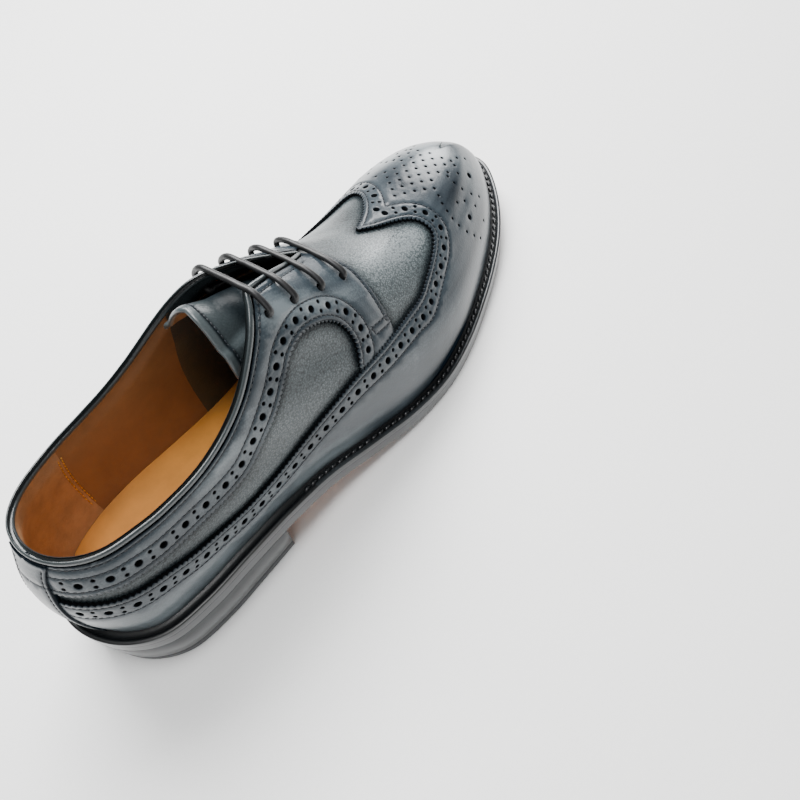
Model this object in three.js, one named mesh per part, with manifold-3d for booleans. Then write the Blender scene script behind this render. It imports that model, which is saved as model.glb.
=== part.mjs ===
// Longwing derby brogue, the right shoe of a pair, about EU 42.
// Lengths are in millimetres. X runs from heel to toe, Y towards the inside of the foot, Z up.
import * as THREE from "three";
import { mergeVertices } from "three/addons/utils/BufferGeometryUtils.js";
import Module from "manifold-3d";

const wasm = await Module();
wasm.setup();

// Driving sizes
const soleLength = 297;
const ballWidth = 102;
const instepHeight = 124;
const heelHeight = 22.4;
const toeSpring = 10.9;
const outsoleThickness = 5.5;
const weltThickness = 3.5;
const weltWidth = 6;
const wallThickness = 2.4;
const overlayThickness = 1.3;
const tongueThickness = 2.2;
const insoleThickness = 3;
const topPieceThickness = 5;
const laceDiameter = 2.7;
const eyeletDiameter = 4.8;
const pieceGap = 0.3;
const laceClearance = 0.6;
const sideBulge = 3;

// Shares of the driving sizes
const heelBreastShare = 0.255;
const heelTaper = 0.965;
const heelSetIn = 0.005;
const swellReach = 1.6;
const fallFade = 1.5;

// The last, a row for each section from heel to toe.
// along and ridgeAlong are shares of the sole length, inner, outer and ridgeSide of the ball width,
// ridgeUp of the instep height. side and crown are the fullness of the section's curve,
// bulge is a share of the side bulge, fall the slope at which the crown drops towards the toe.
const lastColumns = ["along", "inner", "outer", "ridgeAlong", "ridgeUp", "ridgeSide",
  "side", "crown", "bulge", "fall"];
const lastRows = [
  [0.0000, 0.000, 0.000, 0.135, 0.952, -0.015, 2.30, 2.20, 1.13, 0.00],
  [0.0155, 0.167, 0.172, 0.141, 0.960, -0.015, 2.30, 2.20, 1.13, 0.00],
  [0.0572, 0.279, 0.299, 0.162, 0.968, -0.020, 2.30, 2.20, 0.97, 0.00],
  [0.1212, 0.319, 0.353, 0.195, 0.984, -0.029, 2.30, 2.20, 0.80, 0.00],
  [0.1953, 0.314, 0.377, 0.242, 1.000, -0.039, 2.30, 2.10, 0.63, 0.00],
  [0.2761, 0.288, 0.398, 0.303, 0.996, -0.044, 2.25, 2.00, 0.63, 0.00],
  [0.3569, 0.286, 0.425, 0.370, 0.961, -0.039, 2.20, 2.00, 0.80, 0.00],
  [0.4377, 0.320, 0.478, 0.441, 0.861, -0.032, 2.15, 2.00, 0.97, 0.00],
  [0.5185, 0.371, 0.531, 0.519, 0.720, -0.029, 2.10, 1.90, 1.13, 0.00],
  [0.5993, 0.414, 0.553, 0.599, 0.598, -0.036, 2.05, 1.90, 1.13, 0.00],
  [0.6734, 0.443, 0.533, 0.673, 0.513, -0.041, 2.10, 1.90, 0.97, -0.03],
  [0.7475, 0.453, 0.484, 0.737, 0.479, -0.030, 2.28, 1.80, 0.60, -0.10],
  [0.8168, 0.453, 0.425, 0.794, 0.454, -0.010, 2.34, 1.70, 0.25, -0.18],
  [0.8784, 0.416, 0.354, 0.839, 0.430, 0.010, 2.34, 1.65, 0.15, -0.26],
  [0.9290, 0.344, 0.268, 0.869, 0.410, 0.020, 2.34, 1.65, 0.15, -0.30],
  [0.9701, 0.222, 0.167, 0.885, 0.399, 0.022, 2.34, 1.65, 0.15, -0.30],
  [0.9933, 0.096, 0.080, 0.893, 0.393, 0.016, 2.34, 1.65, 0.15, -0.30],
  [1.0000, 0.004, -0.004, 0.896, 0.391, 0.006, 2.34, 1.65, 0.15, -0.30],
];

// Underside of the outsole: lift at the heel as a share of the heel height, at the toe of the spring
const undersideColumns = ["along", "heelLift", "toeLift"];
const undersideRows = [
  [-0.034, 1.009, 0.000],
  [0.000, 1.000, 0.000],
  [0.168, 0.955, 0.000],
  [0.253, 0.871, 0.000],
  [0.337, 0.670, 0.000],
  [0.421, 0.388, 0.000],
  [0.505, 0.152, 0.000],
  [0.579, 0.022, 0.000],
  [0.640, 0.000, 0.000],
  [0.721, 0.000, 0.000],
  [0.791, 0.000, 0.083],
  [0.869, 0.000, 0.272],
  [0.943, 0.000, 0.620],
  [1.010, 0.000, 1.000],
  [1.044, 0.000, 1.211],
];

// Lines on the upper. station is the section number of the last, with its fraction.
// up is 0 at the feather line, where the upper meets the welt, and 1 on the ridge.
const collarColumns = ["station", "outerUp", "innerUp"];
const collarRows = [
  [0.0, 0.437, 0.437],
  [1.0, 0.427, 0.426],
  [2.0, 0.409, 0.406],
  [3.0, 0.383, 0.387],
  [3.5, 0.375, 0.390],
  [4.0, 0.375, 0.402],
  [4.5, 0.394, 0.434],
  [5.0, 0.436, 0.492],
  [5.5, 0.509, 0.572],
  [6.0, 0.626, 0.674],
  [6.35, 0.745, 0.770],
  [6.50, 0.810, 0.818],
  [6.62, 0.850, 0.850],
  [7.15, 0.894, 0.894],
  [7.70, 0.940, 0.940],
  [8.12, 0.984, 0.984],
];
const wingColumns = ["station", "up"];
const wingRows = [
  [0.00, 0.250],
  [0.60, 0.246],
  [1.30, 0.238],
  [2.07, 0.220],
  [2.75, 0.194],
  [3.58, 0.158],
  [4.43, 0.136],
  [5.08, 0.150],
  [5.76, 0.187],
  [6.42, 0.243],
  [7.17, 0.312],
  [7.75, 0.364],
  [8.29, 0.404],
  [8.80, 0.434],
  [9.34, 0.462],
  [9.75, 0.506],
  [10.17, 0.551],
  [10.63, 0.609],
  [10.86, 0.667],
  [10.89, 0.735],
  [10.81, 0.805],
  [10.62, 0.862],
  [10.33, 0.912],
  [9.98, 0.954],
  [9.62, 1.000],
];
const facingColumns = ["station", "up"];
const facingFrontRows = [
  [8.12, 0.984],
  [8.40, 0.910],
  [8.54, 0.800],
  [8.50, 0.674],
  [8.42, 0.550],
  [8.34, 0.428],
];
const facingLowerRows = [
  [7.34, 0.350],
  [7.52, 0.451],
  [7.49, 0.544],
  [7.27, 0.582],
  [6.83, 0.574],
  [6.42, 0.520],
  [6.13, 0.451],
  [5.81, 0.386],
  [5.42, 0.332],
  [4.91, 0.272],
  [4.60, 0.252],
  [4.13, 0.244],
  [3.38, 0.251],
  [2.87, 0.258],
  [2.31, 0.276],
  [1.60, 0.290],
  [0.70, 0.298],
];
const tongueColumns = ["station", "up"];
const tongueRows = [
  [5.72, 1.000],
  [5.71, 0.860],
  [5.67, 0.740],
  [5.64, 0.660],
  [5.74, 0.600],
  [6.40, 0.595],
  [7.90, 0.640],
  [8.65, 0.740],
  [9.00, 1.000],
];
const eyeletColumns = ["station", "up"];
const eyeletRows = [
  [6.52, 0.704],
  [7.06, 0.719],
  [7.66, 0.742],
  [8.22, 0.759],
];
const backStripStation = 0.62;
const stripTaperStation = 0.56;
const overlayClearUp = 0.02;
const tailClearUp = 0.12;

// Points of the lace, as shares of a crossing over the throat and of a pass under the facing
const crossingShares = [-1, -0.62, -0.3, 0, 0.3, 0.62, 1];
const passShares = [0.2, 0.5, 0.8];

// Mesh steps
const stationStep = 0.5;
const upSteps = 10;
const curveSteps = 3;
const tailSteps = 5;
const laceSides = 6;
const eyeletSides = 10;

// Offsets from the last's surface, which lies midway through the overlays
const upperOuter = -(overlayThickness + pieceGap) / 2;
const upperInner = upperOuter - wallThickness;
const overlayInner = upperOuter + pieceGap;
const overlayOuter = overlayInner + overlayThickness;
const tongueOuter = upperInner - laceDiameter - 3 * laceClearance;
const tongueInner = tongueOuter - tongueThickness;

const lastStation = lastRows.length - 1;
const named = (columns, rows) => rows.map((row) =>
  Object.fromEntries(columns.map((name, k) => [name, row[k]])));
const last = named(lastColumns, lastRows);
const underside = named(undersideColumns, undersideRows);
const collar = named(collarColumns, collarRows);
const wing = named(wingColumns, wingRows);
const facingFront = named(facingColumns, facingFrontRows);
const facingLower = named(facingColumns, facingLowerRows);
const tongueEdge = named(tongueColumns, tongueRows);
const eyelets = named(eyeletColumns, eyeletRows);

function clamp(value, low, high) {
  return Math.min(high, Math.max(low, value));
}

// Smooth value of a column of the last at a station. across is the value past each end,
// taken from the next row of another column with a sign.
function columnAt(column, station, acrossColumn, acrossSign) {
  const end = last.length - 1;
  const value = (k) => {
    if (k < 0) {
      return acrossSign * last[1][acrossColumn];
    }
    if (k > end) {
      return acrossSign * last[end - 1][acrossColumn];
    }
    return last[k][column];
  };
  const i = Math.min(Math.floor(station), end - 1);
  const f = station - i;
  const [a, b, c, d] = [value(i - 1), value(i), value(i + 1), value(i + 2)];
  return 0.5 * (2 * b + (c - a) * f + (2 * a - 5 * b + 4 * c - d) * f * f
    + (3 * b - a - 3 * c + d) * f * f * f);
}

function plainColumn(column, station) {
  return columnAt(column, station, column, 1);
}

// Edge of the outsole at a station. side is 1 for the inside of the foot and -1 for the outside.
function soleEdge(station, side) {
  const x = soleLength * plainColumn("along", station);
  const y = side > 0
    ? ballWidth * columnAt("inner", station, "outer", -1)
    : -ballWidth * columnAt("outer", station, "inner", -1);
  return [x, y];
}

function edgeNormal(station, side) {
  const step = 0.001;
  const behind = station - step;
  const ahead = station + step;
  const p = behind < 0 ? soleEdge(-behind, -side) : soleEdge(behind, side);
  const q = ahead > lastStation ? soleEdge(2 * lastStation - ahead, -side) : soleEdge(ahead, side);
  const length = Math.hypot(q[0] - p[0], q[1] - p[1]);
  return [-side * (q[1] - p[1]) / length, side * (q[0] - p[0]) / length];
}

function insetEdge(station, side, inset) {
  const [x, y] = soleEdge(station, side);
  const [nx, ny] = edgeNormal(station, side);
  return [x - nx * inset, y - ny * inset];
}

// Monotone cubic through a column of the underside table
function undersideColumn(column, along) {
  const n = underside.length;
  const slope = (k) => (underside[k + 1][column] - underside[k][column])
    / (underside[k + 1].along - underside[k].along);
  const tangent = (k) => {
    if (k === 0) {
      return slope(0);
    }
    if (k === n - 1) {
      return slope(n - 2);
    }
    const [before, after] = [slope(k - 1), slope(k)];
    if (before * after <= 0) {
      return 0;
    }
    return (2 * before * after) / (before + after);
  };
  const at = clamp(along, underside[0].along, underside[n - 1].along);
  let k = 0;
  while (k < n - 2 && underside[k + 1].along < at) {
    k += 1;
  }
  const h = underside[k + 1].along - underside[k].along;
  const f = (at - underside[k].along) / h;
  const start = underside[k][column];
  const rise = underside[k + 1][column] - start;
  const [m0, m1] = [tangent(k) * h, tangent(k + 1) * h];
  return start + m0 * f + (3 * rise - 2 * m0 - m1) * f * f + (m0 + m1 - 2 * rise) * f * f * f;
}

function undersideAt(x) {
  return heelHeight * undersideColumn("heelLift", x / soleLength)
    + toeSpring * undersideColumn("toeLift", x / soleLength);
}

function featherLevel(x) {
  return undersideAt(x) + outsoleThickness + weltThickness + 2 * pieceGap;
}

// Point of the last. up runs from 0 at the feather line to 1 on the ridge.
function lastPoint(station, side, up) {
  const [x, y] = insetEdge(station, side, weltWidth);
  const [nx, ny] = edgeNormal(station, side);
  const ridgeX = soleLength * plainColumn("ridgeAlong", station);
  const ridgeY = ballWidth * plainColumn("ridgeSide", station);
  const ridgeZ = instepHeight * plainColumn("ridgeUp", station);
  const angle = (up * Math.PI) / 2;
  const reach = Math.pow(Math.max(0, Math.cos(angle)), 2 / plainColumn("side", station));
  const rise = Math.pow(Math.sin(angle), 2 / plainColumn("crown", station));
  const swell = sideBulge * plainColumn("bulge", station)
    * Math.sin(Math.PI * clamp(swellReach * rise, 0, 1));
  const foot = featherLevel(x);
  const ahead = (x - ridgeX) * reach + nx * swell;
  const fall = plainColumn("fall", station) * ahead * Math.pow(rise, fallFade);
  return new THREE.Vector3(
    ridgeX + ahead,
    ridgeY + (y - ridgeY) * reach + ny * swell,
    foot + (ridgeZ - foot) * rise + fall,
  );
}

// The chart lays the last out flat: a is the station, b is 1 at the inner feather line,
// 0 on the ridge and -1 at the outer feather line.
const stationCount = Math.round(lastStation / stationStep);
const chartStep = 1 / upSteps;
const meshNode = (i, j) => i * (2 * upSteps + 1) + j;

function chartGrid() {
  const points = [];
  for (let i = 0; i <= stationCount; i += 1) {
    for (let j = 0; j <= 2 * upSteps; j += 1) {
      const b = j * chartStep - 1;
      points.push(lastPoint(i * stationStep, b >= 0 ? 1 : -1, 1 - Math.abs(b)));
    }
  }
  const normals = points.map(() => new THREE.Vector3());
  const twin = (i, j) => (i === 0 || i === stationCount
    ? meshNode(i, Math.min(j, 2 * upSteps - j)) : meshNode(i, j));
  const add = (p, q, r) => {
    const [P, Q, R] = [points[p], points[q], points[r]];
    const face = Q.clone().sub(P).cross(R.clone().sub(P));
    [p, q, r].forEach((k) => normals[k].add(face));
  };
  for (let i = 0; i < stationCount; i += 1) {
    for (let j = 0; j < 2 * upSteps; j += 1) {
      add(twin(i, j), twin(i + 1, j), twin(i + 1, j + 1));
      add(twin(i, j), twin(i + 1, j + 1), twin(i, j + 1));
    }
  }
  for (let i = 0; i <= stationCount; i += 1) {
    for (let j = 0; j <= 2 * upSteps; j += 1) {
      const normal = normals[twin(i, j)];
      if (j === 0 || j === 2 * upSteps) {
        normal.z = 0;
      }
      normals[meshNode(i, j)] = normal.clone().normalize();
    }
  }
  return { points, normals };
}

const chart = chartGrid();

// Point at chart position a, b and a distance along the surface's normal
function chartPoint(a, b, offset) {
  const ga = clamp(a / stationStep, 0, stationCount);
  const gb = clamp((b + 1) / chartStep, 0, 2 * upSteps);
  const i = Math.min(Math.floor(ga + 1e-9), stationCount - 1);
  const j = Math.min(Math.floor(gb + 1e-9), 2 * upSteps - 1);
  const [fa, fb] = [ga - i, gb - j];
  const node = (di, dj) => {
    const k = meshNode(i + di, j + dj);
    return chart.points[k].clone().addScaledVector(chart.normals[k], offset);
  };
  const [origin, far] = [node(0, 0), node(1, 1)];
  const corner = fa >= fb ? node(1, 0) : node(0, 1);
  const [first, second] = fa >= fb ? [fa, fb] : [fb, fa];
  const along = corner.clone().sub(origin).multiplyScalar(first);
  const across = far.sub(corner).multiplyScalar(second);
  return origin.add(along).add(across);
}

function chartNormal(a, b) {
  return chartPoint(a, b, 1).sub(chartPoint(a, b, 0)).normalize();
}

// Part of a polygon on the left of the line from p to q
function clipLeft(polygon, p, q) {
  const height = (r) => (q[0] - p[0]) * (r[1] - p[1]) - (q[1] - p[1]) * (r[0] - p[0]);
  const out = [];
  polygon.forEach((r, k) => {
    const s = polygon[(k + 1) % polygon.length];
    const [hr, hs] = [height(r), height(s)];
    if (hr >= 0) {
      out.push(r);
    }
    if ((hr > 0 && hs < 0) || (hr < 0 && hs > 0)) {
      const f = hr / (hr - hs);
      out.push([r[0] + (s[0] - r[0]) * f, r[1] + (s[1] - r[1]) * f]);
    }
  });
  return out;
}

// Removes doubled points and points where the outline turns straight back
function tidyOutline(polygon) {
  let points = polygon;
  let count = -1;
  while (points.length !== count) {
    count = points.length;
    points = points.filter((p, k) => {
      const q = points[(k + 1) % points.length];
      return Math.hypot(p[0] - q[0], p[1] - q[1]) > 1e-6;
    });
    const spike = points.findIndex((p, k) => {
      const before = points[(k + points.length - 1) % points.length];
      const after = points[(k + 1) % points.length];
      const u = [before[0] - p[0], before[1] - p[1]];
      const v = [after[0] - p[0], after[1] - p[1]];
      return Math.abs(u[0] * v[1] - u[1] * v[0]) < 1e-9 && u[0] * v[0] + u[1] * v[1] > 0;
    });
    if (spike >= 0) {
      points = points.filter((p, k) => k !== spike);
    }
  }
  return points;
}

function inside(polygon, x, y) {
  let odd = false;
  polygon.forEach((p, k) => {
    const q = polygon[(k + 1) % polygon.length];
    if ((p[1] > y) !== (q[1] > y) && x < p[0] + ((y - p[1]) / (q[1] - p[1])) * (q[0] - p[0])) {
      odd = !odd;
    }
  });
  return odd;
}

function meetsCell(polygon, cell) {
  const [lowA, highA] = [Math.min(...cell.map((p) => p[0])), Math.max(...cell.map((p) => p[0]))];
  const [lowB, highB] = [Math.min(...cell.map((p) => p[1])), Math.max(...cell.map((p) => p[1]))];
  return polygon.some((p, k) => {
    const q = polygon[(k + 1) % polygon.length];
    return Math.max(p[0], q[0]) > lowA && Math.min(p[0], q[0]) < highA
      && Math.max(p[1], q[1]) > lowB && Math.min(p[1], q[1]) < highB;
  });
}

// Triangles of a chart polygon, cut along the lines of the chart's grid
function regionTriangles(polygon) {
  const triangles = [];
  const keep = (p, q, r) => {
    const area = (q[0] - p[0]) * (r[1] - p[1]) - (q[1] - p[1]) * (r[0] - p[0]);
    if (Math.abs(area) > 1e-9) {
      triangles.push(area > 0 ? [p, q, r] : [p, r, q]);
    }
  };
  const take = (cell) => {
    if (!meetsCell(polygon, cell)) {
      const middle = [0, 1].map((k) => (cell[0][k] + cell[1][k] + cell[2][k]) / 3);
      if (inside(polygon, middle[0], middle[1])) {
        keep(...cell);
      }
      return;
    }
    let piece = polygon;
    cell.forEach((p, k) => {
      piece = clipLeft(piece, p, cell[(k + 1) % 3]);
    });
    piece = tidyOutline(piece);
    if (piece.length < 3) {
      return;
    }
    const contour = piece.map((p) => new THREE.Vector2(p[0], p[1]));
    THREE.ShapeUtils.triangulateShape(contour, []).forEach(([p, q, r]) => {
      keep(piece[p], piece[q], piece[r]);
    });
  };
  for (let i = 0; i < stationCount; i += 1) {
    for (let j = 0; j < 2 * upSteps; j += 1) {
      const [a0, a1] = [i * stationStep, (i + 1) * stationStep];
      const [b0, b1] = [j * chartStep - 1, (j + 1) * chartStep - 1];
      take([[a0, b0], [a1, b0], [a1, b1]]);
      take([[a0, b0], [a1, b1], [a0, b1]]);
    }
  }
  return triangles;
}

function geometryOf(triangles) {
  const flat = triangles.flatMap((triangle) => triangle.flatMap((p) => [p.x, p.y, p.z]));
  const geometry = new THREE.BufferGeometry();
  geometry.setAttribute("position", new THREE.Float32BufferAttribute(flat, 3));
  return geometry;
}

// Closed sheet over chart polygons, between two offsets from the last's surface
function sheet(polygons, low, high) {
  const key = ([a, b]) => {
    const folded = a < 1e-6 || a > lastStation - 1e-6 ? Math.abs(b) : b;
    return `${Math.round(a * 1e4)},${Math.round(folded * 1e5)}`;
  };
  const corners = new Map();
  const faces = [];
  polygons.flatMap(regionTriangles).forEach((triangle) => {
    const keys = triangle.map((p) => {
      const name = key(p);
      if (!corners.has(name)) {
        corners.set(name, {
          high: chartPoint(p[0], p[1], high),
          low: chartPoint(p[0], p[1], low),
        });
      }
      return name;
    });
    if (new Set(keys).size === 3) {
      faces.push(keys);
    }
  });
  const used = new Set(faces.flatMap((face) => face.map((p, k) => `${p}|${face[(k + 1) % 3]}`)));
  const triangles = [];
  faces.forEach((face) => {
    const [p, q, r] = face.map((name) => corners.get(name));
    triangles.push([p.high, q.high, r.high], [p.low, r.low, q.low]);
    face.forEach((name, k) => {
      const next = face[(k + 1) % 3];
      if (!used.has(`${next}|${name}`)) {
        const [s, t] = [corners.get(name), corners.get(next)];
        triangles.push([s.high, s.low, t.low], [s.high, t.low, t.high]);
      }
    });
  });
  return geometryOf(triangles);
}

// Points of a chart line on one side, from a table with station and up, with smooth curves between
function chartLine(rows, side, upColumn = "up") {
  const points = rows.map((row) => new THREE.Vector2(row.station, side * (1 - row[upColumn])));
  const curve = new THREE.SplineCurve(points);
  const steps = (points.length - 1) * curveSteps;
  return Array.from({ length: steps + 1 }, (unused, k) => {
    const p = curve.getPoint(k / steps);
    return [Math.max(0, p.x), clamp(p.y, -1, 1)];
  });
}

const onBothSides = (line) => line.map(([a, b]) => [a, -b]);

function upAt(rows, station) {
  const k = Math.max(1, rows.findIndex((row) => row.station >= station));
  const [p, q] = [rows[k - 1], rows[k]];
  return p.up + ((station - p.station) / (q.station - p.station)) * (q.up - p.up);
}

function upperRegion() {
  const innerCollar = chartLine(collar, 1, "innerUp");
  const outerCollar = chartLine(collar, -1, "outerUp").reverse();
  return [[0, -1], [lastStation, -1], [lastStation, 1], [0, 1], ...innerCollar,
    [collar[collar.length - 1].station + (1 - collar[collar.length - 1].outerUp), 0],
    ...outerCollar];
}

function wingRegion() {
  const outerEdge = chartLine(wing, -1);
  const innerEdge = onBothSides(outerEdge).slice(0, -1);
  return [[0, -1], [lastStation, -1], [lastStation, 1], [0, 1],
    ...innerEdge, ...outerEdge.reverse()];
}

function facingRegion(side) {
  const upColumn = side > 0 ? "innerUp" : "outerUp";
  const start = facingLower[facingLower.length - 1].station;
  const rim = chartLine(collar, side, upColumn).filter((p) => p[0] > start);
  const clear = rim.map(([a, b]) => [a, side * (Math.abs(b) + overlayClearUp / 2)]);
  const hem = [];
  const [hemStart, hemEnd] = [facingFront[facingFront.length - 1], facingLower[0]];
  for (let k = 1; k < curveSteps; k += 1) {
    const station = hemStart.station + (k / curveSteps) * (hemEnd.station - hemStart.station);
    hem.push([station, side * (1 - upAt(wing, station) - overlayClearUp)]);
  }
  return [...clear, ...chartLine(facingFront, side).slice(1), ...hem, ...chartLine(facingLower, side)];
}

// Strip up the back of the heel, between the wing and the collar
function backStripRegion(side) {
  const upColumn = side > 0 ? "innerUp" : "outerUp";
  const foot = upAt(wing, 0) + overlayClearUp;
  const top = collar[0][upColumn] - overlayClearUp / 2;
  return [[0, side * (1 - foot)], [backStripStation, side * (1 - foot)],
    [stripTaperStation, side * (1 - top)], [0, side * (1 - top)]];
}

function tongueRegion() {
  const outerEdge = chartLine(tongueEdge, -1);
  return [...outerEdge, ...onBothSides(outerEdge).reverse().slice(1, -1)];
}

// Closed plate between two outlines, each with an inner and an outer row of points
function plate(lower, upper) {
  const triangles = [];
  const quad = (p, q, r, s) => triangles.push([p, q, r], [p, r, s]);
  const end = lower.inner.length - 1;
  for (let i = 0; i < end; i += 1) {
    quad(upper.outer[i], upper.outer[i + 1], upper.inner[i + 1], upper.inner[i]);
    quad(lower.inner[i], lower.inner[i + 1], lower.outer[i + 1], lower.outer[i]);
    quad(lower.outer[i], lower.outer[i + 1], upper.outer[i + 1], upper.outer[i]);
    quad(upper.inner[i], upper.inner[i + 1], lower.inner[i + 1], lower.inner[i]);
  }
  quad(lower.outer[end], lower.inner[end], upper.inner[end], upper.outer[end]);
  const solid = triangles.filter(([p, q, r]) =>
    p.distanceTo(q) > 1e-6 && q.distanceTo(r) > 1e-6 && r.distanceTo(p) > 1e-6);
  return geometryOf(solid);
}

function edgeRow(side, inset, endStation, place) {
  const steps = Math.round(endStation / stationStep);
  return Array.from({ length: steps + 1 }, (unused, k) => {
    const [x, y] = insetEdge((k * endStation) / steps, side, inset);
    return place(x, y);
  });
}

function outlineRows(inset, endStation, place) {
  return {
    inner: edgeRow(1, inset, endStation, place),
    outer: edgeRow(-1, inset, endStation, place),
  };
}

const atLevel = (level) => (x, y) => new THREE.Vector3(x, y, level(x));
const outsoleTop = (x) => undersideAt(x) + outsoleThickness;
const weltFoot = (x) => outsoleTop(x) + pieceGap;
const weltTop = (x) => weltFoot(x) + weltThickness;

function soleOutline(inset, level) {
  return outlineRows(inset, lastStation, atLevel(level));
}

// Station where the sole's edge reaches a length from the heel
function stationAt(x) {
  let [low, high] = [0, lastStation];
  for (let k = 0; k < 40; k += 1) {
    const middle = (low + high) / 2;
    if (soleEdge(middle, 1)[0] < x) {
      low = middle;
    } else {
      high = middle;
    }
  }
  return low;
}

// Outline of the heel at a share of its height, narrower towards the floor
function heelOutline(level) {
  const place = (x, y) => {
    const top = undersideAt(x) - pieceGap;
    const z = level === null ? top : level;
    const share = 1 - z / top;
    return new THREE.Vector3(
      x + share * (soleLength * heelSetIn - x * (1 - heelTaper) * heelBreastShare),
      y * (1 - share * (1 - heelTaper)),
      z,
    );
  };
  return outlineRows(0, stationAt(heelBreastShare * soleLength), place);
}

// Ring of rectangular section, along the sole's edge
function weltRing() {
  const innerInset = weltWidth - upperInner + pieceGap;
  const loop = (inset, level) => {
    const rows = soleOutline(inset, level);
    return [...rows.outer, ...rows.inner.slice(1, -1).reverse()];
  };
  const loops = [loop(0, weltFoot), loop(0, weltTop), loop(innerInset, weltTop),
    loop(innerInset, weltFoot)];
  const triangles = [];
  loops.forEach((near, k) => {
    const far = loops[(k + 1) % loops.length];
    near.forEach((p, i) => {
      const n = (i + 1) % near.length;
      triangles.push([p, near[n], far[n]], [p, far[n], far[i]]);
    });
  });
  return geometryOf(triangles);
}

function insolePlate() {
  const inset = weltWidth - upperInner + 2 * pieceGap;
  return plate(soleOutline(inset, weltFoot),
    soleOutline(inset, (x) => weltTop(x) + insoleThickness));
}

// The lace crosses the throat at each pair of eyelets and runs under the facings between them
function lacePath() {
  const radius = laceDiameter / 2;
  const over = overlayOuter + radius + laceClearance;
  const under = upperInner - radius - laceClearance / 2;
  const at = (station, b, offset) => chartPoint(station, b, offset);
  const path = [];
  eyelets.forEach((eyelet, k) => {
    const from = k % 2 === 0 ? -1 : 1;
    const reach = 1 - eyelet.up;
    path.push(at(eyelet.station, from * reach, under));
    crossingShares.forEach((share) => {
      path.push(at(eyelet.station, -from * share * reach, over));
    });
    path.push(at(eyelet.station, -from * reach, under));
    if (k < eyelets.length - 1) {
      const next = eyelets[k + 1];
      passShares.forEach((share) => {
        const up = eyelet.up + share * (next.up - eyelet.up);
        const station = eyelet.station + share * (next.station - eyelet.station);
        path.push(at(station, -from * (1 - up), under));
      });
    }
  });
  const tail = 1 - eyelets[0].up + tailClearUp;
  const tailStart = eyelets[eyelets.length - 1].station;
  const tailEnd = eyelets[0].station;
  for (let k = 1; k <= tailSteps; k += 1) {
    path.push(at(tailStart + (k / tailSteps) * (tailEnd - tailStart), -tail, under));
  }
  return path;
}

function cord(points, radius, sides, stepsPerPoint) {
  const curve = new THREE.CatmullRomCurve3(points, false, "centripetal");
  const steps = (points.length - 1) * stepsPerPoint;
  const frames = curve.computeFrenetFrames(steps, false);
  const rings = Array.from({ length: steps + 1 }, (unused, k) => {
    const centre = curve.getPointAt(k / steps);
    return Array.from({ length: sides }, (alsoUnused, s) => {
      const angle = (2 * Math.PI * s) / sides;
      return centre.clone()
        .addScaledVector(frames.normals[k], radius * Math.cos(angle))
        .addScaledVector(frames.binormals[k], radius * Math.sin(angle));
    });
  });
  const triangles = [];
  for (let k = 0; k < steps; k += 1) {
    for (let s = 0; s < sides; s += 1) {
      const t = (s + 1) % sides;
      triangles.push([rings[k][s], rings[k][t], rings[k + 1][t]]);
      triangles.push([rings[k][s], rings[k + 1][t], rings[k + 1][s]]);
    }
  }
  [[rings[0], -1], [rings[steps], 1]].forEach(([ring, way]) => {
    for (let s = 1; s < sides - 1; s += 1) {
      triangles.push(way > 0 ? [ring[0], ring[s], ring[s + 1]] : [ring[0], ring[s + 1], ring[s]]);
    }
  });
  return geometryOf(triangles);
}

function manifoldOf(geometry) {
  geometry.deleteAttribute("normal");
  geometry.deleteAttribute("uv");
  const merged = mergeVertices(geometry, 1e-5);
  return new wasm.Manifold(new wasm.Mesh({
    numProp: 3,
    vertProperties: new Float32Array(merged.attributes.position.array),
    triVerts: new Uint32Array(merged.index.array),
  }));
}

function geometryFrom(manifold) {
  const mesh = manifold.getMesh();
  const geometry = new THREE.BufferGeometry();
  const positions = new Float32Array(mesh.vertProperties);
  geometry.setAttribute("position", new THREE.BufferAttribute(positions, 3));
  geometry.setIndex(new THREE.BufferAttribute(new Uint32Array(mesh.triVerts), 1));
  return geometry;
}

function withEyelets(geometry, sides) {
  const length = 4 * (wallThickness + overlayThickness);
  let solid = manifoldOf(geometry);
  sides.forEach((side) => {
    eyelets.forEach(({ station, up }) => {
      const pin = new THREE.CylinderGeometry(eyeletDiameter / 2, eyeletDiameter / 2, length,
        eyeletSides);
      const normal = chartNormal(station, side * (1 - up));
      pin.applyQuaternion(new THREE.Quaternion().setFromUnitVectors(
        new THREE.Vector3(0, 1, 0), normal));
      const centre = chartPoint(station, side * (1 - up), 0);
      pin.translate(centre.x, centre.y, centre.z);
      solid = solid.subtract(manifoldOf(pin));
    });
  });
  return geometryFrom(solid);
}

const leather = "#56616b";
const pieces = [
  ["outsole", plate(soleOutline(0, undersideAt), soleOutline(0, outsoleTop)), "#c87f45", 0.55],
  ["welt", weltRing(), "#14171c", 0.4],
  ["heel_stack", plate(heelOutline(topPieceThickness + pieceGap), heelOutline(null)),
    "#5c6064", 0.5],
  ["top_piece", plate(heelOutline(0), heelOutline(topPieceThickness)), "#17181a", 0.7],
  ["insole", insolePlate(), "#bb7430", 0.6],
  ["upper", withEyelets(sheet([upperRegion()], upperInner, upperOuter), [-1, 1]), leather, 0.42],
  ["wing_band", sheet([wingRegion()], overlayInner, overlayOuter), leather, 0.35],
  ["facing_outer", withEyelets(sheet([facingRegion(-1)], overlayInner, overlayOuter), [-1]),
    leather, 0.38],
  ["facing_inner", withEyelets(sheet([facingRegion(1)], overlayInner, overlayOuter), [1]),
    leather, 0.38],
  ["back_strip", sheet([backStripRegion(-1), backStripRegion(1)], overlayInner, overlayOuter),
    leather, 0.38],
  ["tongue", sheet([tongueRegion()], tongueInner, tongueOuter), "#33383d", 0.6],
  ["lace", cord(lacePath(), laceDiameter / 2, laceSides, 2), "#1e2226", 0.7],
];

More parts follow.
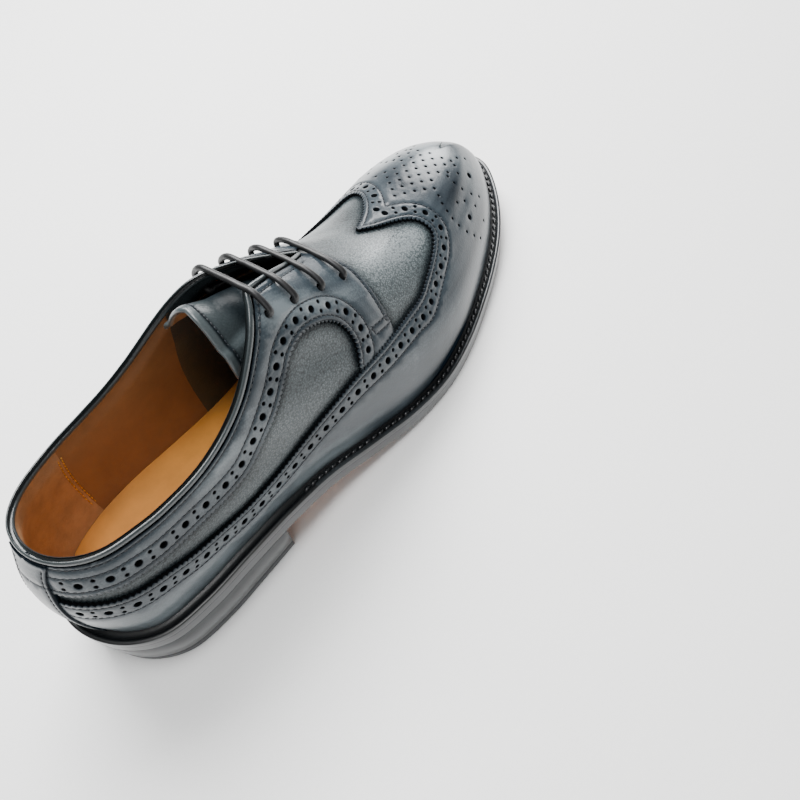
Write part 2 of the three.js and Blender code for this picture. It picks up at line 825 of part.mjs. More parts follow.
const shoe = new THREE.Group();
shoe.name = "longwing_brogue";
pieces.forEach(([name, geometry, color, roughness]) => {
  const mesh = new THREE.Mesh(geometry, new THREE.MeshStandardMaterial({ color, roughness }));
  mesh.name = name;
  shoe.add(mesh);
});

// The frame's origin is under the middle of the shoe, on the floor
const bounds = new THREE.Box3().setFromObject(shoe);
const middle = bounds.getCenter(new THREE.Vector3());
shoe.children.forEach((mesh) => {
  mesh.geometry.translate(-middle.x, -middle.y, -bounds.min.z);
  mesh.geometry.deleteAttribute("normal");
  mesh.geometry.computeVertexNormals();
});

export default shoe;
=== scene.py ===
import math

import bmesh
import bpy
import numpy as np
from bpy.props import FloatProperty, FloatVectorProperty, PointerProperty
from mathutils import Matrix, Vector
from mathutils.geometry import delaunay_2d_cdt
from mathutils.kdtree import KDTree


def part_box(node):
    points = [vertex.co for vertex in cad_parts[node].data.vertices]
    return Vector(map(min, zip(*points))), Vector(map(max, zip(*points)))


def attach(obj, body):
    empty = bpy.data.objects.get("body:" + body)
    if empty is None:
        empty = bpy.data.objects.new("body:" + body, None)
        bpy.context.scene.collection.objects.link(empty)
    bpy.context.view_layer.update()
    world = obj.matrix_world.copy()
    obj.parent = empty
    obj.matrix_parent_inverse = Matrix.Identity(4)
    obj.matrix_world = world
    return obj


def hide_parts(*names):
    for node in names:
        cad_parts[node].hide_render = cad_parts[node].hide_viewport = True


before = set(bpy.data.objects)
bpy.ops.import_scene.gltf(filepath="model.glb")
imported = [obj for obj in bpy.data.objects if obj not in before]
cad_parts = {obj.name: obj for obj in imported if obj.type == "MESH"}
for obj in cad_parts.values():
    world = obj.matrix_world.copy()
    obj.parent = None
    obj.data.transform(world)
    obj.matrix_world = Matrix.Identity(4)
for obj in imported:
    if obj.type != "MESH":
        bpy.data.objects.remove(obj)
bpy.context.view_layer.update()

bl_info = {
    "name": "Longwing Derby Brogue",
    "version": (1, 0, 0),
    "blender": (4, 5, 0),
    "location": "3D View > Sidebar > Shoe",
    "description": "Leather, perforations, stitching, lace and soles of a longwing derby brogue",
    "category": "Object",
}

BODY = "root"
MM = 0.001

# Sizes of the solids, in millimetres
SOLE_LENGTH = 297.0
BALL_WIDTH = 102.0
INSTEP_HEIGHT = 124.0
HEEL_HEIGHT = 22.4
TOE_SPRING = 10.9
OUTSOLE_THICKNESS = 5.5
WELT_THICKNESS = 3.5
WELT_WIDTH = 6.0
WALL_THICKNESS = 2.4
OVERLAY_THICKNESS = 1.3
TONGUE_THICKNESS = 2.2
INSOLE_THICKNESS = 3.0
TOP_PIECE_THICKNESS = 5.0
LACE_DIAMETER = 2.7
PIECE_GAP = 0.3
LACE_CLEARANCE = 0.6
LACE_SQUEEZE = 0.1
SIDE_BULGE = 3.0
HEEL_BREAST_SHARE = 0.255
HEEL_TAPER = 0.965
HEEL_SET_IN = 0.005

UPPER_OUTER = -(OVERLAY_THICKNESS + PIECE_GAP) / 2
UPPER_INNER = UPPER_OUTER - WALL_THICKNESS
OVERLAY_INNER = UPPER_OUTER + PIECE_GAP
OVERLAY_OUTER = OVERLAY_INNER + OVERLAY_THICKNESS
TONGUE_OUTER = UPPER_INNER - LACE_DIAMETER - 3 * LACE_CLEARANCE

# The last, a row for each section from heel to toe: along, inner and outer half widths,
# ridge along, up and to the side, fullness of side and crown, bulge, and fall of the toe
ALONG, INNER, OUTER, RIDGE_ALONG, RIDGE_UP, RIDGE_SIDE, SIDE, CROWN, BULGE, FALL = range(10)
LAST = np.array([
    [0.0000, 0.000, 0.000, 0.135, 0.952, -0.015, 2.30, 2.20, 1.13, 0.00],
    [0.0155, 0.167, 0.172, 0.141, 0.960, -0.015, 2.30, 2.20, 1.13, 0.00],
    [0.0572, 0.279, 0.299, 0.162, 0.968, -0.020, 2.30, 2.20, 0.97, 0.00],
    [0.1212, 0.319, 0.353, 0.195, 0.984, -0.029, 2.30, 2.20, 0.80, 0.00],
    [0.1953, 0.314, 0.377, 0.242, 1.000, -0.039, 2.30, 2.10, 0.63, 0.00],
    [0.2761, 0.288, 0.398, 0.303, 0.996, -0.044, 2.25, 2.00, 0.63, 0.00],
    [0.3569, 0.286, 0.425, 0.370, 0.961, -0.039, 2.20, 2.00, 0.80, 0.00],
    [0.4377, 0.320, 0.478, 0.441, 0.861, -0.032, 2.15, 2.00, 0.97, 0.00],
    [0.5185, 0.371, 0.531, 0.519, 0.720, -0.029, 2.10, 1.90, 1.13, 0.00],
    [0.5993, 0.414, 0.553, 0.599, 0.598, -0.036, 2.05, 1.90, 1.13, 0.00],
    [0.6734, 0.443, 0.533, 0.673, 0.513, -0.041, 2.10, 1.90, 0.97, -0.03],
    [0.7475, 0.453, 0.484, 0.737, 0.479, -0.030, 2.28, 1.80, 0.60, -0.10],
    [0.8168, 0.453, 0.425, 0.794, 0.454, -0.010, 2.34, 1.70, 0.25, -0.18],
    [0.8784, 0.416, 0.354, 0.839, 0.430, 0.010, 2.34, 1.65, 0.15, -0.26],
    [0.9290, 0.344, 0.268, 0.869, 0.410, 0.020, 2.34, 1.65, 0.15, -0.30],
    [0.9701, 0.222, 0.167, 0.885, 0.399, 0.022, 2.34, 1.65, 0.15, -0.30],
    [0.9933, 0.096, 0.080, 0.893, 0.393, 0.016, 2.34, 1.65, 0.15, -0.30],
    [1.0000, 0.004, -0.004, 0.896, 0.391, 0.006, 2.34, 1.65, 0.15, -0.30],
])
END = len(LAST) - 1

# Underside of the outsole: along, lift at the heel and lift at the toe
UNDERSIDE = np.array([
    [-0.034, 1.009, 0.000], [0.000, 1.000, 0.000], [0.168, 0.955, 0.000],
    [0.253, 0.871, 0.000], [0.337, 0.670, 0.000], [0.421, 0.388, 0.000],
    [0.505, 0.152, 0.000], [0.579, 0.022, 0.000], [0.640, 0.000, 0.000],
    [0.721, 0.000, 0.000], [0.791, 0.000, 0.083], [0.869, 0.000, 0.272],
    [0.943, 0.000, 0.620], [1.010, 0.000, 1.000], [1.044, 0.000, 1.211],
])

# Lines on the upper: station, then how far up from the feather line (0) to the ridge (1)
COLLAR = np.array([
    [0.0, 0.437, 0.437], [1.0, 0.427, 0.426], [2.0, 0.409, 0.406], [3.0, 0.383, 0.387],
    [3.5, 0.375, 0.390], [4.0, 0.375, 0.402], [4.5, 0.394, 0.434], [5.0, 0.436, 0.492],
    [5.5, 0.509, 0.572], [6.0, 0.626, 0.674], [6.35, 0.745, 0.770], [6.50, 0.810, 0.818],
    [6.62, 0.850, 0.850], [7.15, 0.894, 0.894], [7.70, 0.940, 0.940], [8.12, 0.984, 0.984],
])
WING = np.array([
    [0.00, 0.250], [0.60, 0.246], [1.30, 0.238], [2.07, 0.220], [2.75, 0.194],
    [3.58, 0.158], [4.43, 0.136], [5.08, 0.150], [5.76, 0.187], [6.42, 0.243],
    [7.17, 0.312], [7.75, 0.364], [8.29, 0.404], [8.80, 0.434], [9.34, 0.462],
    [9.75, 0.506], [10.17, 0.551], [10.63, 0.609], [10.86, 0.667], [10.89, 0.735],
    [10.81, 0.805], [10.62, 0.862], [10.33, 0.912], [9.98, 0.954], [9.62, 1.000],
])
FACING_FRONT = np.array([
    [8.12, 0.984], [8.40, 0.910], [8.54, 0.800], [8.50, 0.674], [8.42, 0.550],
    [8.34, 0.428], [8.30, 0.375],
])
FACING_LOWER = np.array([
    [7.28, 0.300], [7.34, 0.350], [7.52, 0.451], [7.49, 0.544], [7.27, 0.582],
    [6.83, 0.574], [6.42, 0.520], [6.13, 0.451], [5.81, 0.386], [5.42, 0.332],
    [4.91, 0.272], [4.60, 0.252], [4.13, 0.244], [3.38, 0.251], [2.87, 0.258],
    [2.31, 0.276], [1.60, 0.290], [0.70, 0.298], [0.20, 0.300],
])
# Back strip: its edge, its top on the back seam, and how far it stands over the other leather
BACK_TOP = 0.568
BACK_RISE = 0.9
BACK_STRIP = np.array([
    [0.69, 0.420], [0.60, 0.385], [0.54, 0.350], [0.53, 0.300], [0.53, 0.240],
    [0.54, 0.150], [0.57, 0.070], [0.60, -0.008],
])
# Tongue: its sides, about how many mm one station is at its top, and its top edge as b and
# station
TONGUE = np.array([
    [5.60, 0.600], [6.40, 0.595], [7.90, 0.640], [8.65, 0.740], [8.95, 0.860],
])
TONGUE_STATION = 24.0
TONGUE_TOP = np.array([[-0.48, 5.60], [-0.24, 5.68], [0.0, 5.72], [0.20, 5.70], [0.40, 5.64]])
EYELETS = np.array([[6.52, 0.704], [7.06, 0.719], [7.66, 0.742], [8.22, 0.759]])

# Rows beside a pinked edge, in mm from its line: outer seam, large holes and inner seam, then
# how far the small holes lie to each side of the large ones
WING_ROWS = (1.7, 5.3, 8.9)
FACING_ROWS = (1.7, 5.2, 8.8)
PAIR_SPREAD = 1.6
# Seams along the facing's front edge and along the collar, in mm from them
FRONT_SEAM = 2.0
COLLAR_SEAM = 1.7
# How far the wing's hem reaches in the chart, a little past the feather line
HEM = 1.008
EYELET_RADIUS = 1.5
# Bar tack at the foot of the facing's front: its steps in chart units
TACK_STEPS = np.array([[-0.40, 0.018], [0.0, 0.038], [0.42, -0.020]])

# Medallion on the toe, along and across the shoe in mm: end of the ornament, corner
# and two steps of the diamond, and on the outer side the large holes and the scrolls round them
TOE_END = 281.0
MEDALLION_CORNER = np.array([221.6, -3.0])
MEDALLION_OUTWARD = np.array([4.10, -2.60])
MEDALLION_INWARD = np.array([3.45, 3.70])
MEDALLION_ROSES = np.array([[264.1, -16.0], [242.8, -28.6]])
MEDALLION_SCROLLS = np.array([
    [235.9, -16.8], [233.4, -20.1], [232.2, -23.3], [231.9, -26.3], [232.6, -29.2],
    [234.6, -31.9], [238.0, -33.7], [242.3, -34.6], [241.8, -22.8], [247.6, -23.6],
    [252.0, -26.2], [252.6, -30.4], [250.6, -12.6], [249.9, -16.2], [251.6, -19.6],
    [255.3, -22.3], [259.8, -23.7], [257.2, -9.0], [261.9, -7.6], [267.0, -7.5], [271.9, -8.9],
])


def cubic(a, b, c, d, f):
    """Smooth step f of the way from b to c, with a before and d after them."""
    return 0.5 * (2 * b + (c - a) * f + (2 * a - 5 * b + 4 * c - d) * f * f
                  + (3 * b - a - 3 * c + d) * f ** 3)


def smooth_rows(padded, per_span):
    """Smooth line through rows, of which the first and last only steer its ends."""
    f = np.linspace(0, 1, per_span, endpoint=False)[:, None]
    spans = [cubic(*padded[k:k + 4], f) for k in range(len(padded) - 3)]
    return np.concatenate(spans + [padded[-2:-1]])


def column(number, station, across=None, sign=1.0):
    """Smooth value of one column of the last; across is its value past each end."""
    other = number if across is None else across
    values = np.concatenate([[sign * LAST[1, other]], LAST[:, number], [sign * LAST[-2, other]]])
    i = np.clip(np.floor(station).astype(int), 0, END - 1)
    return cubic(values[i], values[i + 1], values[i + 2], values[i + 3], station - i)


def folded(station, side):
    """Past either end the station runs back along the other side."""
    past = (station < 0) | (station > END)
    station = np.where(station < 0, -station, np.where(station > END, 2 * END - station, station))
    return station, np.where(past, -side, side)


def sole_edge(station, side):
    """Place along and across the sole's outer edge, in mm."""
    station, side = folded(np.asarray(station, float), np.asarray(side, float))
    inner = BALL_WIDTH * column(INNER, station, OUTER, -1)
    outer = -BALL_WIDTH * column(OUTER, station, INNER, -1)
    return SOLE_LENGTH * column(ALONG, station), np.where(side > 0, inner, outer)


def edge_normal(station, side):
    """Outward direction of the sole's edge, along and across."""
    step = 0.001
    px, py = sole_edge(station - step, side)
    qx, qy = sole_edge(station + step, side)
    length = np.hypot(qx - px, qy - py)
    return -side * (qy - py) / length, side * (qx - px) / length


def inset_edge(station, side, inset):
    """The sole's edge moved inwards by an inset in mm."""
    x, y = sole_edge(station, side)
    nx, ny = edge_normal(station, side)
    return x - nx * inset, y - ny * inset


def monotone(table, number, at):
    """Monotone cubic through a column of a table."""
    x, y = table[:, 0], table[:, number]
    slope = np.diff(y) / np.diff(x)
    product = slope[:-1] * slope[1:]
    total = np.where(product > 0, slope[:-1] + slope[1:], 1.0)
    tangent = np.concatenate([[slope[0]], np.where(product > 0, 2 * product / total, 0.0),
                              [slope[-1]]])
    at = np.clip(at, x[0], x[-1])
    k = np.clip(np.searchsorted(x, at) - 1, 0, len(x) - 2)
    h = x[k + 1] - x[k]
    f = (at - x[k]) / h
    rise = y[k + 1] - y[k]
    m0, m1 = tangent[k] * h, tangent[k + 1] * h
    return y[k] + m0 * f + (3 * rise - 2 * m0 - m1) * f * f + (m0 + m1 - 2 * rise) * f ** 3


def underside(x):
    share = np.asarray(x, float) / SOLE_LENGTH
    return (HEEL_HEIGHT * monotone(UNDERSIDE, 1, share)
            + TOE_SPRING * monotone(UNDERSIDE, 2, share))


def foot_level(x):
    """Height of the upper's feather line and of the insole's underside."""
    return underside(x) + OUTSOLE_THICKNESS + WELT_THICKNESS + 2 * PIECE_GAP


def frame_origin():
    """Where the solids' own origin lies in the frame, in millimetres."""
    low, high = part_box("outsole")
    stations = np.arange(0, END + 0.1, 0.5)
    outer = sole_edge(stations, -np.ones_like(stations))[1].min()
    inner = sole_edge(stations, np.ones_like(stations))[1].max()
    middle = (low[1] + high[1]) / 2 / MM - (outer + inner) / 2
    return np.array([low[0] / MM, middle, 0.0])


ORIGIN = frame_origin()


def place(a, b):
    """Point of the last at chart position a, b in mm. a is the station, and b is 1 at the
    inner feather line, 0 on the ridge and -1 at the outer feather line."""
    a, b = np.broadcast_arrays(np.asarray(a, float), np.asarray(b, float))
    side = np.where(b >= 0, 1.0, -1.0)
    station, side = folded(a, side)
    up = np.clip(1 - np.abs(b), 0, 1)
    below = np.clip(np.abs(b) - 1, 0, None)
    x, y = inset_edge(station, side, WELT_WIDTH)
    nx, ny = edge_normal(station, side)
    ridge_x = SOLE_LENGTH * column(RIDGE_ALONG, station)
    ridge_y = BALL_WIDTH * column(RIDGE_SIDE, station)
    ridge_z = INSTEP_HEIGHT * column(RIDGE_UP, station)
    angle = up * np.pi / 2
    reach = np.clip(np.cos(angle), 0, 1) ** (2 / column(SIDE, station))
    rise = np.sin(angle) ** (2 / column(CROWN, station))
    swell = SIDE_BULGE * column(BULGE, station) * np.sin(np.pi * np.clip(1.6 * rise, 0, 1))
    foot = foot_level(x)
    ahead = (x - ridge_x) * reach + nx * swell
    points = np.stack([
        ridge_x + ahead,
        ridge_y + (y - ridge_y) * reach + ny * swell,
        foot + (ridge_z - foot) * rise - below * 100 + column(FALL, station) * ahead * rise ** 1.5,
    ], axis=-1)
    return points + ORIGIN


def slopes(a, b):
    """Steps in mm for one chart unit along and across."""
    ea, eb = 0.02, 0.008
    along = (place(a + ea, b) - place(a - ea, b)) / (2 * ea)
    across = (place(a, b + eb) - place(a, b - eb)) / (2 * eb)
    return along, across


def unit(vectors):
    """The vectors at length 1."""
    return vectors / np.maximum(np.linalg.norm(vectors, axis=-1, keepdims=True), 1e-9)


def normals(a, b):
    """Outward normals of the last; at the front tip of the ridge they are those beside it."""
    tip = (np.abs(b) < 0.06) & (np.asarray(a) > END - 1.5)
    along, across = slopes(a, np.where(tip, np.where(np.asarray(b) < 0, -0.06, 0.06), b))
    return unit(np.cross(along, across))


# Creases of the vamp and quarters: station and b of the middle, half length and half width in
# chart units, turn in degrees, and depth in mm (a ridge where it is below zero)
CREASES = np.array([
    [9.15, -0.16, 0.62, 0.050, 62, 0.55],
    [9.55, -0.22, 0.55, 0.045, 66, -0.40],
    [9.05, 0.20, 0.60, 0.050, -60, 0.50],
    [9.95, -0.30, 0.50, 0.040, 70, 0.35],
    [12.30, -0.44, 1.30, 0.060, 4, 0.55],
    [13.60, -0.30, 1.50, 0.060, 2, -0.35],
    [4.40, -0.70, 1.10, 0.045, 3, 0.30],
    [5.60, -0.66, 0.90, 0.045, -20, -0.25],
    [6.90, -0.52, 0.60, 0.050, 30, 0.25],
    [2.10, -0.88, 1.40, 0.030, 0, 0.20],
])
# Burnishing and painted light of the wing and facings, in the same columns: darker where above
# zero, burnished dye at the toe and welt with painted shade on the outer side, and lighter where
# below zero, painted highlights on the toe's top and the outer facing and painted reflections
# low along the sides and heel
BURNISH_AND_PAINTED_LIGHT = np.array([
    [12.50, -0.66, 1.20, 0.070, 0, 0.35],
    [10.30, -0.66, 1.30, 0.050, 0, 0.40],
    [9.60, -0.95, 1.25, 0.115, 0, 1.50],
    [9.60, 0.95, 1.25, 0.095, 0, 0.90],
    [8.30, -0.80, 1.60, 0.050, 0, 0.20],
    [12.60, -0.33, 0.90, 0.090, 20, 0.55],
    [11.75, 0.05, 0.45, 0.300, 0, 0.40],
    [14.30, 0.00, 1.10, 0.160, 0, -0.75],
    [12.60, 0.30, 1.50, 0.160, 0, -0.65],
    [16.30, -0.35, 0.80, 0.300, 0, 0.40],
    [16.60, 0.40, 0.70, 0.260, 0, 0.30],
    [6.95, -0.31, 0.75, 0.060, -10, -1.00],
    [5.80, -0.53, 0.90, 0.040, -25, 0.30],
    [4.30, -0.66, 1.60, 0.040, 0, -0.30],
    [2.20, -0.95, 2.60, 0.080, 0, -0.60],
    [6.00, -0.98, 1.30, 0.060, 0, -0.50],
    [3.40, 0.92, 3.20, 0.080, 0, -0.40],
])
# Painted light of the vamp and quarters, in the same columns: painted shade where above zero,
# painted highlights where below zero
VAMP_PAINTED_LIGHT = np.array([
    [9.40, -0.22, 0.90, 0.110, 0, -0.65],
    [10.40, -0.26, 0.50, 0.080, 0, -0.55],
    [10.00, 0.20, 0.55, 0.110, 0, 0.55],
    [8.70, 0.05, 0.40, 0.200, 0, 0.40],
    [6.60, -0.60, 1.10, 0.080, 0, 0.25],
    [4.00, -0.78, 1.50, 0.030, 0, 0.30],
])
# Hills: how much longer a chart unit is across than along
CHART_ACROSS = 6.0
# Panels: about what a chart unit is in mm, along and up the side
CHART_MM = np.array([15.0, 85.0])


def hills(table, a, b):
    """Sum of the soft oval hills of a table at chart positions."""
    total = np.zeros(np.broadcast(a, b).shape)
    for middle_a, middle_b, half_long, half_wide, turn, height in table:
        angle = math.radians(turn)
        da, db = a - middle_a, (b - middle_b) * CHART_ACROSS
        along = da * math.cos(angle) + db * math.sin(angle)
        across = db * math.cos(angle) - da * math.sin(angle)
        wide = half_wide * CHART_ACROSS
        total = total + height * np.exp(-(along / half_long) ** 2 - (across / wide) ** 2)
    return total


def crease(a, b):
    """Soft troughs and ridges of the leather, in mm outwards."""
    return -hills(CREASES, a, b)


def smooth_step(low, high, value):
    """0 below low, 1 above high, and smooth between them."""
    f = np.clip((value - low) / (high - low), 0, 1)
    return f * f * (3 - 2 * f)


def burnish_and_painted_light(a, b):
    """Burnishing and painted light: a thin darker line along the welt on the forefoot, and the
    table's patches, darker from burnished dye and painted shade, lighter from painted highlights.
    """
    edge = 0.5 * smooth_step(6.5, 9.0, a) * np.exp(-((1 - np.abs(b)) / 0.022) ** 2)
    return hills(BURNISH_AND_PAINTED_LIGHT, a, b) + edge


def beside(points, line, reach):
    """1 beside a line on the last, fading to 0 about a reach away, in mm."""
    tree = KDTree(len(line))
    for k, point in enumerate(line):
        tree.insert(point, k)
    tree.balance()
    gap = np.array([tree.find(point)[2] for point in points.reshape(-1, 3)])
    return np.exp(-(gap / reach) ** 2).reshape(points.shape[:-1])


def spot(line, lift=0.0, creased=True):
    """Frame position in mm of chart points, lifted along the surface's normal."""
    line = np.asarray(line, float)
    a, b = line[..., 0], line[..., 1]
    height = np.asarray(lift, float) + (crease(a, b) if creased else 0.0)
    return place(a, b) + normals(a, b) * np.broadcast_to(height, a.shape)[..., None]


def chart_shift(line, move):
    """Chart step that gives a step in mm along the surface."""
    along, across = slopes(line[:, 0], line[:, 1])
    aa = (along * along).sum(-1)
    ab = (along * across).sum(-1)
    bb = (across * across).sum(-1)
    ma, mb = (along * move).sum(-1), (across * move).sum(-1)
    det = np.maximum(aa * bb - ab * ab, 1e-9)
    return np.stack([(bb * ma - ab * mb) / det, (aa * mb - ab * ma) / det], axis=-1)


def rail(line, distance, closed=False, window=1):
    """Line at a distance in mm to the left of a chart line."""
    points = place(line[:, 0], line[:, 1])
    index = np.arange(len(line))
    if closed:
        ahead, behind = (index + window) % len(line), (index - window) % len(line)
    else:
        ahead, behind = np.minimum(index + window, len(line) - 1), np.maximum(index - window, 0)
    tangent = unit(points[ahead] - points[behind])
    left = np.cross(normals(line[:, 0], line[:, 1]), tangent)
    distance = np.broadcast_to(np.asarray(distance, float), (len(line),))
    return line + chart_shift(line, left * distance[:, None])


def spline(rows, per_span=8):
    """Smooth chart line through table rows."""
    rows = np.asarray(rows, float)
    return smooth_rows(np.concatenate([rows[:1], rows, rows[-1:]]), per_span)


def lengths(line):
    """Running length in mm at each point of a chart line."""
    points = place(line[:, 0], line[:, 1])
    steps = np.linalg.norm(np.diff(points, axis=0), axis=1)
    return np.concatenate([[0], np.cumsum(steps)])


def even(line, pitch, multiple=1):
    """The line with points evenly spaced along it, about a pitch apart in mm."""
    run = lengths(line)[-1]
    count = max(multiple, int(round(run / pitch / multiple)) * multiple)
    return at_lengths(line, np.linspace(0, run, count + 1))


def at_lengths(line, wanted):
    """Points of a chart line at running lengths in mm."""
    run = lengths(line)
    wanted = np.asarray(wanted, float)
    return np.stack([np.interp(wanted, run, line[:, k]) for k in (0, 1)], axis=-1)


def side_line(rows, side, up_column=1, per_span=8):
    """Chart line on one side, from rows of station and up."""
    rows = np.asarray(rows, float)
    return spline(np.stack([rows[:, 0], side * (1 - rows[:, up_column])], axis=-1), per_span)


def mirrored(line):
    """A chart line on the other side, run the other way round."""
    return line[::-1] * np.array([1.0, -1.0])


def up_to_ridge(line, side):
    """Part of a line on its own side of the ridge, ended on it."""
    over = np.nonzero(line[:, 1] * side < 0)[0]
    over = over[over > len(line) // 2]
    if len(over) == 0:
        return line
    k = over[0]
    p, q = line[k - 1], line[k]
    f = p[1] / (p[1] - q[1])
    return np.concatenate([line[:k], [[p[0] + f * (q[0] - p[0]), 0.0]]])


def pinked(line, tooth, depth, side):
    """Toothed edge beside a line: rounded teeth of a pitch and depth in mm."""
    base = even(line, tooth / 4, multiple=4)
    wave = np.tile([0.0, 0.62, 1.0, 0.62], len(base) // 4 + 1)[:len(base)]
    return rail(base, side * depth * wave, window=4)


def chart_of(x, y):
    """Chart position of a point of the toe from its place along and across, in mm."""
    grid_a, grid_b = np.meshgrid(np.linspace(9.5, END - 0.05, 160), np.linspace(-0.75, 0.75, 151),
                                 indexing="ij")
    points = place(grid_a, grid_b) - ORIGIN
    gap = (points[..., 0] - x) ** 2 + (points[..., 1] - y) ** 2
    k = np.unravel_index(gap.argmin(), gap.shape)
    guess = np.array([grid_a[k], grid_b[k]])
    for _ in range(4):
        miss = np.array([x, y]) - (place(*guess) - ORIGIN)[:2]
        along, across = slopes(*guess)
        step = np.linalg.lstsq(np.stack([along[:2], across[:2]], axis=-1), miss, rcond=None)[0]
        guess = guess + np.clip(step, -0.2, 0.2)
    return guess


def inside(polygon, points):
    """Which points lie in a polygon."""
    odd = np.zeros(len(points), bool)
    x, y = points[:, 0], points[:, 1]
    following = np.roll(polygon, -1, axis=0)
    for p, q in zip(polygon, following):
        if p[1] == q[1]:
            continue
        crosses = ((p[1] > y) != (q[1] > y)) & (
            x < p[0] + (y - p[1]) / (q[1] - p[1]) * (q[0] - p[0]))
        odd ^= crosses
    return odd


def inside_any(polygons, points):
    """Which points lie in at least one polygon."""
    hit = np.zeros(len(points), bool)
    for polygon in polygons:
        low, high = polygon.min(axis=0), polygon.max(axis=0)
        near = np.nonzero(((points >= low) & (points <= high)).all(axis=1))[0]
        hit[near] |= inside(polygon, points[near])
    return hit


class Shell:
    """Points in mm, faces, shade, height up the side and material numbers of one mesh."""

    def __init__(self):
        self.points, self.faces, self.shades, self.ups, self.numbers = [], [], [], [], []
        self.count = 0

    def add(self, points, faces, shade=0.0, number=0, up=0.0):
        """Adds points and the faces between them, with one material number or one a face."""
        points = np.asarray(points, float).reshape(-1, 3)
        self.points.append(points)
        self.shades.append(np.broadcast_to(np.asarray(shade, float), (len(points),)))
        self.ups.append(np.broadcast_to(np.asarray(up, float), (len(points),)))
        faces = np.asarray(faces, int)
        self.faces.extend((faces + self.count).tolist())
        self.numbers.append(np.broadcast_to(np.asarray(number, int), (len(faces),)))
        self.count += len(points)

    def make(self, name, materials, slot, nodes=(), weld=0.0):
        """Makes the piece. It replaces the nodes, and points closer than weld mm are joined."""
        mesh = bpy.data.meshes.new(name)
        mesh.from_pydata((np.concatenate(self.points) * MM).tolist(), [], self.faces)
        for title, values in (("shade", self.shades), ("up", self.ups)):
            layer = mesh.attributes.new(title, "FLOAT", "POINT")
            layer.data.foreach_set("value", np.concatenate(values).astype(np.float32))
        mesh.polygons.foreach_set("material_index",
                                  np.concatenate(self.numbers).astype(np.int32))
        mesh.polygons.foreach_set("use_smooth", np.ones(len(self.faces), bool))
        for material in materials:
            mesh.materials.append(material)
        if weld:
            work = bmesh.new()
            work.from_mesh(mesh)
            bmesh.ops.remove_doubles(work, verts=work.verts, dist=weld * MM)
            work.to_mesh(mesh)
            work.free()
        mesh.validate()
        mesh.update()
        piece = bpy.data.objects.new(name, mesh)
        bpy.context.scene.collection.objects.link(piece)
        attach(piece, BODY)
        if nodes:
            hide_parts(*nodes)


def grid_faces(rows, columns, flip=False, closed=False):
    """Quads over a grid of points stored row after row."""
    i, j = np.meshgrid(np.arange(rows - 1), np.arange(columns if closed else columns - 1),
                       indexing="ij")
    i, j = i.ravel(), j.ravel()
    following = (j + 1) % columns
    quads = np.stack([i * columns + j, (i + 1) * columns + j,
                      (i + 1) * columns + following, i * columns + following], axis=-1)
    return quads[:, ::-1] if flip else quads


# Panels: bevel of a cut edge, and depth, half width and point spacing of a pressed seam, in mm
BEVEL = 0.2
SEAM_DEPTH = 0.3
SEAM_HALF_WIDTH = 0.5
SEAM_STEP = 1.3
# Holes: radius from which one is large, width of the rim and its points and drop
LARGE_FROM = 1.1
RIM_WIDTH = 0.4
LARGE_RIM = (16, 0.14)
SMALL_RIM = (10, 0.08)
# Stitches of the upper in mm, and their rings as shares of them: along, width, height, rise
STITCH_LENGTH = 1.75
STITCH_RADIUS = 0.27
STITCH_SINK = 0.12
STITCH_RINGS = np.array([
    [-0.5, 0.35, 0.35, -1.0], [-0.3, 1.0, 1.0, 0.0], [0.3, 1.0, 1.0, 0.0], [0.5, 0.35, 0.35, -1.0],
])


def punch(centre, radius, count):
    """Chart points of a round hole."""
    centre = np.asarray(centre, float)[None]
    along, _ = slopes(centre[:, 0], centre[:, 1])
    along = unit(along)
    side = np.cross(normals(centre[:, 0], centre[:, 1]), along)
    angle = np.linspace(0, 2 * np.pi, count, endpoint=False)[:, None]
    move = radius * (np.cos(angle) * along + np.sin(angle) * side)
    return centre + chart_shift(np.repeat(centre, count, axis=0), move)


def unlifted(chart):
    """A piece that lies on the last."""
    return 0.0


class PanelPoints:
    """Chart points that a panel's mesh keeps, each with its height, its shade and the number of
    the hole that it borders, and the edges between them."""

    def __init__(self):
        self.columns = [[], [], [], []]
        self.edges = []
        self.count = 0

    def add(self, line, height, shade, hole=-1, joined=0):
        """Adds a line whose points are joined by so many edges: as many as points close it."""
        size = len(line)
        self.columns[0].append(line)
        for values, value in zip(self.columns[1:], (height, shade, hole)):
            values.append(np.broadcast_to(value, (size,)))
        self.edges += [(self.count + k, self.count + (k + 1) % size) for k in range(joined)]
        self.count += size


def panel_grid(outline, special, rings, step):
    """Even chart points inside a panel, clear of its special points and of the rings."""
    tree = KDTree(len(special))
    for k, (x, y) in enumerate(special * CHART_MM):
        tree.insert((x, y, 0.0), k)
    tree.balance()
    stations = np.arange(step[0] / 2, END, step[0])
    across = np.arange(-1 + step[1] / 2, 1, step[1])
    grid = np.stack(np.meshgrid(stations, across, indexing="ij"), axis=-1).reshape(-1, 2)
    grid = grid[inside(outline, grid)]
    clear = [tree.find((x, y, 0.0))[2] > 1.0 for x, y in grid * CHART_MM]
    grid = grid[np.array(clear, bool)]
    return grid[~inside_any(rings, grid)]


def panel_faces(faces, position, hole, on_outline, outline):
    """Triangles of a panel, all turned one way: none fills a hole or lies past the outline."""
    filled = (hole[faces] >= 0).all(axis=1) & (hole[faces].min(axis=1) == hole[faces].max(axis=1))
    doubtful = on_outline[faces].all(axis=1)
    within = np.ones(len(faces), bool)
    within[doubtful] = inside(outline, position[faces[doubtful]].mean(axis=1))
    faces = faces[within & ~filled]
    p, q, r = (position[faces[:, k]] for k in range(3))
    area = (q[:, 0] - p[:, 0]) * (r[:, 1] - p[:, 1]) - (q[:, 1] - p[:, 1]) * (r[:, 0] - p[:, 0])
    return np.where((area < 0)[:, None], faces[:, ::-1], faces)


